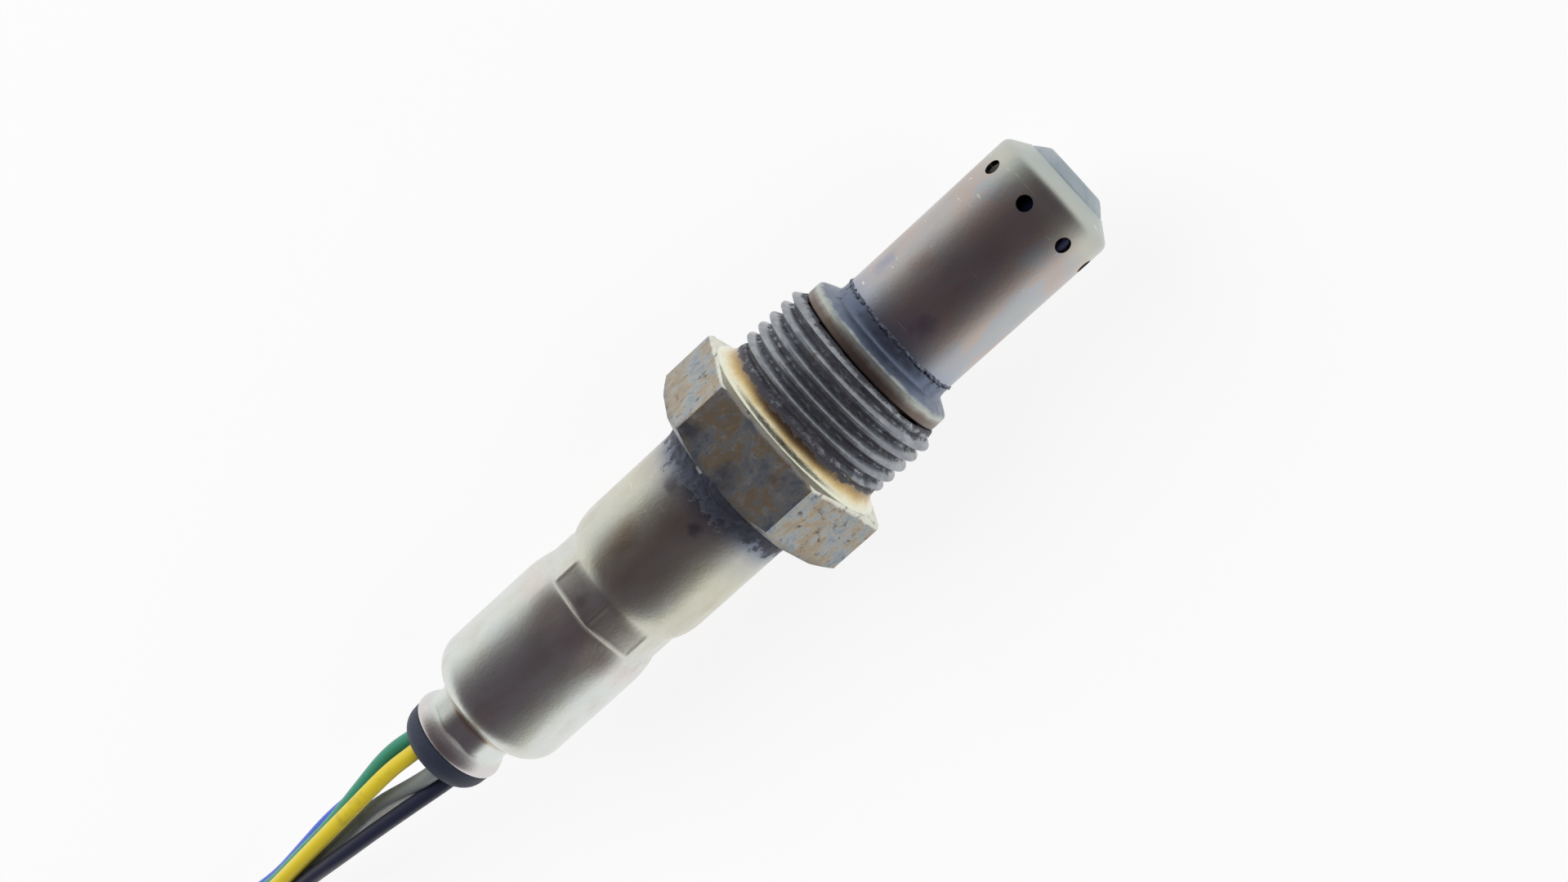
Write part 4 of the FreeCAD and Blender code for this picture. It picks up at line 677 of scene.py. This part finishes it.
class ProbeScrew(bpy.types.Operator):
    """Hollow hexagon screw: chamfered hexagon, its hollow faced front and a cut M20 thread."""

    bl_idname = "probe.screw"
    bl_label = "Fixing screw"

    def execute(self, context):
        sizes = context.scene.probe_sizes
        self.hexagon(sizes)
        self.flange()
        self.thread(sizes)
        return {"FINISHED"}

    def hexagon(self, sizes):
        """The hexagon, its rear corners cut by a cone, with worn edges and the bore."""
        deselect()
        rear, front = HEXAGON_REAR, HEXAGON_FRONT
        bpy.ops.mesh.primitive_cylinder_add(
            vertices=6, radius=ACROSS_FLATS / math.sqrt(3) * MM, depth=(front + 1 - rear) * MM,
            location=((front + 1 + rear) / 2 * MM, 0, 0), rotation=(0, math.pi / 2, 0))
        piece = bpy.context.object
        bpy.ops.object.transform_apply(location=True, rotation=True, scale=True)
        cone = turned([
            (front + 0.16, 10.6), (front + 0.14, 11.0), (front - 0.02, 12.45), (front - 0.22, 12.66),
            (rear + 0.8, 12.66), (rear, 11.3), (rear - 1, 9.5)], capped=True)
        bore = turned([(front + 2, SCREW_BORE), (rear - 2, SCREW_BORE)], capped=True)
        carve(piece, cone, "INTERSECT")
        carve(piece, bore)
        edge = piece.modifiers.new("worn_edges", "BEVEL")
        edge.width = sizes.edge_wear
        edge.segments = 3
        edge.limit_method = "ANGLE"
        edge.angle_limit = math.radians(25)
        apply_all(piece)
        for tool in (cone, bore):
            bpy.data.objects.remove(tool)
        settle(piece, "screw_hexagon", "screw", "screw_steel", ["fixing_screw"])

    def flange(self):
        """The faced front of the hexagon runs down in a hollow curve to the neck before the thread."""
        profile = [(-3.35, SCREW_BORE), (-3.35, 9.56), (-3.6, 9.63), (-3.85, 9.68), (-4.05, 9.74)]
        profile += [(-4.22, 9.82), (-4.4, 9.94), (-4.56, 10.09), (-4.7, 10.26), (-4.83, 10.45)]
        profile += [(-4.95, 10.66), (-5.06, 10.85), (-5.17, 10.98), (-5.26, 10.98), (-5.26, SCREW_BORE)]
        piece = turned(profile + profile[:1])
        settle(piece, "screw_flange", "screw", "flange_steel", ["fixing_screw"])

    def thread(self, sizes):
        """One pitch of the thread's section is screwed round the axis, then its two ends are worked."""
        deselect()
        pitch, depth = sizes.thread_pitch / MM, sizes.thread_depth / MM
        root, crest = CREST_RADIUS - depth, CREST_RADIUS
        section = [
            (0.0, root), (0.10, root + 0.02), (0.21, root + 0.14), (0.62, crest - 0.03), (0.69, crest),
            (0.81, crest), (0.88, crest - 0.03), (1.29, root + 0.14), (1.40, root + 0.02), (1.5, root)]
        bpy.ops.mesh.primitive_plane_add(size=MM)
        piece = bpy.context.object
        bpy.ops.object.mode_set(mode="EDIT")
        bpy.ops.mesh.select_all(action="SELECT")
        bpy.ops.mesh.merge(type="CENTER")
        bpy.ops.transform.translate(value=((THREAD_START + section[0][0]) * MM, 0, section[0][1] * MM))
        for here, there in zip(section, section[1:]):
            bpy.ops.mesh.extrude_region_move(TRANSFORM_OT_translate={
                "value": ((there[0] - here[0]) * pitch / 1.5 * MM, 0, (there[1] - here[1]) * MM)})
        bpy.ops.object.mode_set(mode="OBJECT")
        helix = piece.modifiers.new("helix", "SCREW")
        helix.axis = "X"
        helix.screw_offset = sizes.thread_pitch
        helix.angle = 2 * math.pi
        helix.iterations = THREAD_TURNS
        helix.steps = helix.render_steps = SEGMENTS
        helix.use_merge_vertices = True
        helix.merge_threshold = 1e-6
        apply_all(piece)
        bpy.ops.object.mode_set(mode="EDIT")
        bpy.ops.mesh.select_all(action="SELECT")
        bpy.ops.mesh.remove_doubles(threshold=2e-6)
        for cut, clear in ((THREAD_NOSE, {"clear_outer": True}), (THREAD_REAR, {"clear_inner": True})):
            bpy.ops.mesh.select_all(action="SELECT")
            bpy.ops.mesh.bisect(plane_co=(cut * MM, 0, 0), plane_no=(1, 0, 0), **clear)
        bpy.ops.object.mode_set(mode="OBJECT")

        def ends(x, angle, radius):
            nose = NOSE_RADIUS + (THREAD_NOSE - x) * 1.25
            way = Vector((x, 9 * math.cos(angle), 9 * math.sin(angle)))
            runout = 9.58 + 0.12 * noise.fractal(way * 1.6, 0.8, 2.1, 4)
            radius += (runout - radius) * ease(-x + 0.35 * noise.noise(way * 0.3), 2.75, 3.15)
            return min(radius, nose)

        move_points(piece, ends)
        pick(piece)
        bpy.ops.object.mode_set(mode="EDIT")
        bpy.ops.mesh.select_all(action="DESELECT")
        bpy.ops.object.mode_set(mode="OBJECT")
        for edge in piece.data.edges:
            edge.select = all(
                piece.data.vertices[i].co.x > (THREAD_NOSE - 0.001) * MM for i in edge.vertices)
        bpy.ops.object.mode_set(mode="EDIT")
        bpy.ops.mesh.select_mode(type="EDGE")
        bpy.ops.mesh.extrude_region_move()
        inwards = SCREW_BORE / NOSE_RADIUS
        bpy.ops.transform.resize(value=(1, inwards, inwards), center_override=(THREAD_NOSE * MM, 0, 0))
        bpy.ops.mesh.select_all(action="SELECT")
        bpy.ops.mesh.normals_make_consistent(inside=False)
        bpy.ops.object.mode_set(mode="OBJECT")
        settle(piece, "screw_thread", "screw", "thread_steel", ["fixing_screw"], angle=50)


# The probe's body, in millimetres
HOLES, HOLE_RADIUS, HOLE_STATION = 8, 0.8, 25.9
JAWS = 8
LEAD_HOLE_RADIUS = 0.87


class ProbeHousing(bpy.types.Operator):
    """Sealing collar, cone and neck, the two tubes and the welded seam between them."""

    bl_idname = "probe.housing"
    bl_label = "Housing and tubes"

    def execute(self, context):
        self.collar()
        self.tube()
        self.nose()
        self.seam(context.scene.probe_sizes.seam_grains)
        return {"FINISHED"}

    def collar(self):
        """The housing's visible front: collar with a rounded front edge, sealing cone and a hollow neck."""
        profile = [(11.5, 6.46), (8.85, 6.46), (8.8, 6.9), (8.6, 6.98), (8.3, 7.0), (8.0, 7.0), (7.75, 7.02)]
        profile += [(7.5, 7.1), (7.32, 7.24), (7.2, 7.45), (7.06, 7.75), (6.86, 8.15), (6.64, 8.55)]
        profile += [(6.52, 8.74), (6.42, 8.84), (6.28, 8.89), (6.1, 8.9), (5.6, 8.9), (5.05, 8.9)]
        profile += [(4.93, 8.87), (4.86, 8.8), (4.85, 8.6), (4.85, 8.0), (4.85, 7.5)]
        profile += [(-16.5, 7.5), (-16.5, 4.1), (-15.3, 4.1), (-15.3, 4.75)]
        profile += [(8.0, 4.75), (8.0, 3.2), (11.5, 3.2), (11.5, 6.46)]
        piece = turned(profile)

        def pitted(x, angle, radius):
            around = Vector((x * 1.6, math.cos(angle) * 8, math.sin(angle) * 8))
            rough = ease(x, 6.9, 7.5)
            return radius + 0.035 * rough * noise.fractal(around, 0.9, 2.0, 4)

        move_points(piece, pitted)
        settle(piece, "turned_housing", "probe", "housing_steel", ["sensor_housing"], angle=40)

    def tube(self):
        """The drawn outer tube with its coned end and eight gas holes cut through the wall."""
        outside = [(8.75, 6.47), (8.75, 6.9), (8.8, 6.97)] + [(9.2 + 0.8 * k, 6.97) for k in range(19)]
        outside += [(24.1 + 0.25 * k, 6.97) for k in range(14)]
        outside += [(27.7, 6.97), (28.05, 6.965), (28.3, 6.93), (28.5, 6.85), (28.68, 6.72), (28.85, 6.53)]
        outside += [(29.2, 5.98), (29.55, 5.43), (29.82, 5.0), (29.9, 4.9), (29.9, 4.82), (29.5, 4.82)]
        outside += [(28.3, 6.47)] + [(27.6 - 0.25 * k, 6.47) for k in range(14)]
        outside += [(23.0, 6.47), (16.0, 6.47), (8.75, 6.47)]
        piece = turned(outside, segments=256)
        turns = [math.radians(86 + 360 / HOLES * hole) for hole in range(HOLES)]
        drill_out(piece, HOLE_RADIUS, depth=3, sides=40, holes=[
            ((HOLE_STATION * MM, 6.7 * MM * math.cos(turn), 6.7 * MM * math.sin(turn)),
             (turn - math.pi / 2, 0, 0)) for turn in turns])
        settle(piece, "perforated_tube", "probe", "tube_steel", ["outer_protection_tube"], angle=30)

    def nose(self):
        """The inner tube: a flange on the housing's face, a straight tube and the coned nose."""
        profile = [(11.5, 4.4), (11.5, 6.4), (11.9, 6.4), (11.9, 4.85), (12.0, 4.8)]
        profile += [(13.0 + 0.9 * k, 4.8) for k in range(19)]
        profile += [(29.75, 4.78), (29.9, 4.72), (30.05, 4.6), (30.3, 4.3), (30.6, 3.92), (30.82, 3.63)]
        profile += [(30.95, 3.45), (31.02, 3.3), (31.05, 3.1), (31.05, 2.0), (31.05, 0.6), (31.05, 0.0002)]
        profile += [(30.65, 0.0002), (30.65, 3.0), (29.6, 4.4), (11.5, 4.4)]
        piece = turned(profile, segments=128)
        settle(piece, "closed_inner_tube", "probe", "inner_tube_steel", ["inner_protection_tube"], angle=40)

    def seam(self, count):
        """The tube is welded on all round: a thin, broken line of fine spatter on the neck."""
        profile = [(8.4, 6.9)] + [(8.45 + 0.08 * k, 7.05) for k in range(8)] + [(9.06, 6.9), (8.4, 6.9)]
        bead = turned(profile, segments=count * 4)

        def spatter(x, angle, radius):
            if radius < 6.95:
                return radius
            way = Vector((x, 7 * math.cos(angle), 7 * math.sin(angle)))
            across = 1 - abs(x - 8.75 - 0.1 * noise.noise(way * 0.9)) / 0.32
            grains = 0.5 + noise.noise(way * 2.6) + 0.6 * noise.noise(way * 5.5)
            return 6.93 + max(0.0, across) * max(0.0, 0.04 + 0.24 * grains)

        move_points(bead, spatter)
        settle(bead, "tube_seam_weld", "probe", "weld_steel", angle=60)


class ProbeSleeve(bpy.types.Operator):
    """Drawn protective sleeve with its crimped waist, barrel, crimped neck and lip."""

    bl_idname = "probe.sleeve"
    bl_label = "Protective sleeve"

    def execute(self, context):
        soft = context.scene.probe_sizes.jaw_softness / MM
        outside = [(2.0, 7.5), (2.0, 8.0), (-6.0, 8.0), (-12.0, 8.0)]
        outside += [(-12.3 - 0.1 * k, 8.0) for k in range(40)]
        outside += [(-17.0 - 1.0 * k, 8.0) for k in range(9)]
        outside += [(-25.6, 7.995), (-26.2, 7.97), (-26.7, 7.91), (-27.2, 7.82), (-27.7, 7.68), (-28.2, 7.5)]
        outside += [(-28.6, 7.34), (-29.0, 7.22)] + [(-29.3 - 0.15 * k, 7.28) for k in range(19)]
        outside += [(-32.1, 7.28), (-32.2, 7.32), (-32.3, 7.42), (-32.6, 7.52), (-33.0, 7.62), (-33.5, 7.71)]
        outside += [(-34.1, 7.79), (-34.8, 7.84), (-35.6, 7.85)] + [(-36.4 - 1.1 * k, 7.85) for k in range(9)]
        for step in range(13):
            angle = math.pi / 2 * step / 12
            outside.append((-46.1 - 2.9 * math.sin(angle), 4.95 + 2.9 * math.cos(angle)))
        outside += [(-49.06, 4.88)] + [(-49.15 - 0.13 * k, 4.86) for k in range(20)]
        outside += [(-51.75, 4.9), (-51.9, 4.99), (-52.1, 5.1), (-52.4, 5.24), (-52.7, 5.35), (-53.0, 5.41)]
        outside += [(-53.25, 5.4), (-53.45, 5.35), (-53.56, 5.27), (-53.6, 5.15), (-53.56, 5.0)]
        outside += [(-53.4, 4.86), (-53.0, 4.85), (-52.4, 4.85), (-51.8, 4.12), (-48.5, 4.12), (-48.5, 5.0)]
        for step in range(1, 7):
            angle = math.pi / 2 * (1 - step / 6)
            outside.append((-46.1 - 2.4 * math.sin(angle), 4.95 + 2.4 * math.cos(angle)))
        outside += [(-34.75, 7.35), (-32.25, 6.55), (-29.45, 6.55), (-27.35, 7.5), (2.0, 7.5)]
        piece = turned(outside, segments=320)
        pitch = 2 * math.pi / JAWS

        def off_jaw(angle, turn):
            """Angle from the middle of the nearest crimping jaw."""
            return (angle - math.radians(turn) - math.pi / 2 + pitch / 2) % pitch - pitch / 2

        def pressed(radius, away, face, floor):
            """Radius under a jaw, with the ridge that is squeezed up between two of them."""
            centre = floor - face
            bed = centre * math.cos(away) + math.sqrt(face * face - (centre * math.sin(away)) ** 2)
            return (radius + bed - math.hypot(radius - bed, 0.04)) / 2 + 0.05 * ease(
                abs(away), 0.84 * pitch / 2, pitch / 2)

        def marks(x, angle, radius):
            away = off_jaw(angle, 31.5)
            waist = ease(x, -32.25, -32.25 + soft) * (1 - ease(x, -29.7, -29.7 + 2.6 * soft))
            radius += (pressed(radius, away, 12.0, 7.05) - radius) * waist
            shoulder = ease(x, -36.8, -33.6) * (1 - ease(x, -32.9, -32.3))
            radius -= 0.2 * shoulder * math.cos(JAWS / 4 * away) ** 8
            neck = ease(x, -51.85, -51.85 + 0.8 * soft) * (1 - ease(x, -49.2, -49.0))
            radius += (4.66 + 0.08 * (1 - math.cos(JAWS * off_jaw(angle, 10.5))) - radius) * neck
            way = Vector((x, 8 * math.cos(angle), 8 * math.sin(angle)))
            if radius > 7.6 and -16.2 < x < -12.1:
                edge = 0.5 * noise.noise(way * 0.7)
                crust = ease(x, -14.9 + edge, -13.7 + edge) * (1 - 0.6 * ease(x, -12.9, -12.3))
                radius += crust * (0.12 + 0.1 * noise.fractal(way * 1.5, 0.8, 2.1, 5))
            return radius + 0.02 * noise.noise(way * 0.25)

        move_points(piece, marks)
        settle(piece, "drawn_sleeve", "probe", "sleeve_steel", ["protective_sleeve"], angle=60)
        return {"FINISHED"}


class ProbeGrommet(bpy.types.Operator):
    """Rubber plug squeezed into the sleeve's end."""

    bl_idname = "probe.grommet"
    bl_label = "Wire grommet"

    def execute(self, context):
        profile = [(-35.05, 5.95), (-35.2, 6.0), (-47.0, 6.0), (-48.35, 4.7), (-48.5, 4.1), (-51.8, 4.1)]
        profile += [(-52.4, 4.83), (-53.62, 4.83), (-53.62, 5.12), (-53.7, 5.2), (-53.9, 5.24)]
        for step in range(9):
            angle = math.pi / 2 * step / 9
            profile.append((-54.4 - 2.0 * math.sin(angle), 3.7 + 1.5 * math.cos(angle)))
        profile += [(-56.4, 3.7), (-56.4, 0.5)]
        piece = turned(profile, segments=128, capped=True)
        rings = [ring_place(turn) for turn, *_ in LEADS.values()]
        drill_out(piece, LEAD_HOLE_RADIUS, depth=26, sides=32, holes=[
            ((-47 * MM, y, z), (0, math.pi / 2, 0)) for y, z in rings])
        settle(piece, "moulded_grommet", "probe", "black_rubber", ["wire_grommet"], angle=40)
        return {"FINISHED"}


class ProbeConnector(bpy.types.Operator):
    """Plain six-way connector housing and the cable ties of the hank."""

    bl_idname = "probe.connector"
    bl_label = "Connector and ties"

    def execute(self, context):
        worked_copy("connector_housing", "moulded_connector", "connector_plastic", 0.0002)
        for name in ("hank_tie_front", "hank_tie_rear"):
            worked_copy(name, name + "_strap", "tie_nylon", 0.00015)
        return {"FINISHED"}


class ProbeInside(bpy.types.Operator):
    """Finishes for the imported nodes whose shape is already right."""

    bl_idname = "probe.inside"
    bl_label = "Inner pieces"

    def execute(self, context):
        slots = {entry["node"]: entry["material_slot"] for entry in frame["record"]["subparts"]}
        for name, node in frame["nodes"].items():
            node.data.materials.clear()
            node.data.materials.append(finish_of(slots[name]))
        return {"FINISHED"}


# Camera, floor and light. The photograph's width and focal length in pixels, where its camera stands from
# the point that it aims at, in metres, and how far it is rolled, in degrees.
PHOTO_WIDTH = 1919
FOCAL_PIXELS = 2200
VIEW_FROM = (0.2079, -0.1022, 0.9728)
CAMERA_DISTANCE = 0.1763
AIM_STATION = -0.00675
AIM_DROP = 0.00012
CAMERA_ROLL = -42.26


class ProbeStage(bpy.types.Operator):
    """Pale floor, soft studio light and the camera."""

    bl_idname = "probe.stage"
    bl_label = "Stage"

    def execute(self, context):
        context.scene.view_settings.view_transform = "Standard"
        self.camera(context)
        self.floor()
        self.world(context)
        self.lamps(context)
        return {"FINISHED"}

    def camera(self, context):
        """Close above the probe, tipped towards its front end, with the axis rising to the right."""
        data = bpy.data.cameras.new("probe_camera")
        data.sensor_width = 36.0
        data.lens = FOCAL_PIXELS / PHOTO_WIDTH * data.sensor_width
        data.clip_start = 0.005
        data.clip_end = 20
        away = Vector(VIEW_FROM).normalized()
        ahead = (Vector((1, 0, 0)) - away * away.x).normalized()
        right = Matrix.Rotation(math.radians(CAMERA_ROLL), 3, away) @ ahead
        up = away.cross(right)
        place = Vector((AIM_STATION, 0, 0)) + away * CAMERA_DISTANCE - up * AIM_DROP
        camera = bpy.data.objects.new("probe_camera", data)
        turn = Matrix((right, up, away)).transposed().to_4x4()
        camera.matrix_world = Matrix.Translation(place) @ turn
        context.scene.collection.objects.link(camera)
        context.scene.camera = camera

    def floor(self):
        deselect()
        bpy.ops.mesh.primitive_plane_add(size=6, location=(0, 0, CAD_BOX[0][2]))
        floor = bpy.context.object
        floor.name = "studio_floor"
        # Matt card: plain and nearly white to the eye, with only the object's soft shadow on it
        material = bpy.data.materials.new("matt_white_card")
        material.use_nodes = True
        tree = material.node_tree
        tree.nodes.clear()
        path = add(tree, "ShaderNodeLightPath")
        card = add(tree, "ShaderNodeBsdfDiffuse", inputs={"Color": linear("#fafafa")})
        glow = add(tree, "ShaderNodeEmission", inputs={"Color": (1, 1, 1, 1), "Strength": 1.0})
        share = add(tree, "ShaderNodeMath", {"operation": "MULTIPLY"}, {
            0: path.outputs["Is Camera Ray"], 1: 0.85})
        shine = add(tree, "ShaderNodeMath", {"operation": "MULTIPLY_ADD"}, {
            0: path.outputs["Is Glossy Ray"], 1: 0.9, 2: share.outputs["Value"]})
        mix = add(tree, "ShaderNodeMixShader", inputs={
            0: shine.outputs["Value"], 1: card.outputs["BSDF"], 2: glow.outputs["Emission"]})
        add(tree, "ShaderNodeOutputMaterial", inputs={"Surface": mix.outputs["Shader"]})
        floor.data.materials.append(material)

    def world(self, context):
        """A light tent: bright all round, with a dark opening overhead that runs back along the probe."""
        world = bpy.data.worlds.new("light_tent")
        world.use_nodes = True
        tree = world.node_tree
        tree.nodes.clear()
        path = add(tree, "ShaderNodeLightPath")
        heading = add(tree, "ShaderNodeTexCoord").outputs["Generated"]
        parts = add(tree, "ShaderNodeSeparateXYZ", inputs={"Vector": heading})
        ahead = add(tree, "ShaderNodeMath", {"operation": "MULTIPLY"}, {0: parts.outputs["X"], 1: 1.8})
        behind = add(tree, "ShaderNodeMath", {"operation": "MULTIPLY"}, {0: parts.outputs["X"], 1: 0.25})
        along_probe = add(tree, "ShaderNodeMath", {"operation": "MAXIMUM"}, {
            0: ahead.outputs["Value"], 1: behind.outputs["Value"]})
        squeezed = add(tree, "ShaderNodeCombineXYZ", inputs={
            "X": along_probe.outputs["Value"], "Y": parts.outputs["Y"], "Z": parts.outputs["Z"]})
        unit = add(tree, "ShaderNodeVectorMath", {"operation": "NORMALIZE"}, {0: squeezed.outputs["Vector"]})
        toward = add(tree, "ShaderNodeVectorMath", {"operation": "DOT_PRODUCT"}, {
            0: unit.outputs["Vector"], 1: (0.0, -0.1, 0.995)})
        opening = add(tree, "ShaderNodeValToRGB", inputs={"Fac": toward.outputs["Value"]}, stops=[
            (0.0, "#f4f6f6"), (0.2, "#d8dada"), (0.36, "#b4b3b3"), (0.5, "#918e8f"), (0.66, "#767173"),
            (0.84, "#625c61"), (1.0, "#574f56")])
        seen = add(tree, "ShaderNodeMix", {"data_type": "RGBA"}, {
            0: path.outputs["Is Camera Ray"], 6: opening.outputs["Color"], 7: (1, 1, 1, 1)})
        back = add(tree, "ShaderNodeBackground", inputs={"Color": seen.outputs[2], "Strength": 1.0})
        add(tree, "ShaderNodeOutputWorld", inputs={"Surface": back.outputs["Background"]})
        context.scene.world = world

    def lamps(self, context):
        for name, place, size, power in (
            ("left_softbox", (-0.3, 0.45, 0.45), 0.8, 4.2),
            ("right_softbox", (0.35, -0.5, 0.4), 0.6, 2.0),
        ):
            data = bpy.data.lights.new(name, "AREA")
            data.shape = "DISK"
            data.size = size
            data.energy = power
            lamp = bpy.data.objects.new(name, data)
            lamp.location = place
            aim = Vector(place) - Vector((-0.01, 0, 0))
            lamp.rotation_euler = aim.to_track_quat("Z", "Y").to_euler()
            lamp.visible_glossy = False
            context.scene.collection.objects.link(lamp)


class ProbePanel(bpy.types.Panel):
    """Lists the probe's pieces in the sidebar."""

    bl_idname = "VIEW3D_PT_gas_probe"
    bl_label = "Gas Probe"
    bl_space_type = "VIEW_3D"
    bl_region_type = "UI"
    bl_category = "Gas Probe"

    def draw(self, context):
        for step in STEPS:
            self.layout.operator(step.bl_idname)
        for group in (context.scene.probe_sizes, context.scene.probe_colours):
            for key in group.bl_rna.properties.keys():
                if key not in ("rna_type", "name"):
                    self.layout.prop(group, key)


STEPS = (
    ProbeStage, ProbeLeads, ProbeScrew, ProbeHousing, ProbeSleeve, ProbeGrommet, ProbeConnector, ProbeInside)
CLASSES = (ProbeSizes, ProbeColours, *STEPS, ProbePanel)


def register():
    for kind in CLASSES:
        bpy.utils.register_class(kind)
    bpy.types.Scene.probe_sizes = PointerProperty(type=ProbeSizes)
    bpy.types.Scene.probe_colours = PointerProperty(type=ProbeColours)


def unregister():
    del bpy.types.Scene.probe_colours
    del bpy.types.Scene.probe_sizes
    for kind in reversed(CLASSES):
        bpy.utils.unregister_class(kind)


def main():
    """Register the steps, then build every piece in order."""
    register()
    for step in STEPS:
        group, name = step.bl_idname.split(".")
        getattr(getattr(bpy.ops, group), name)()
    deselect()


if __name__ == "__main__":
    main()
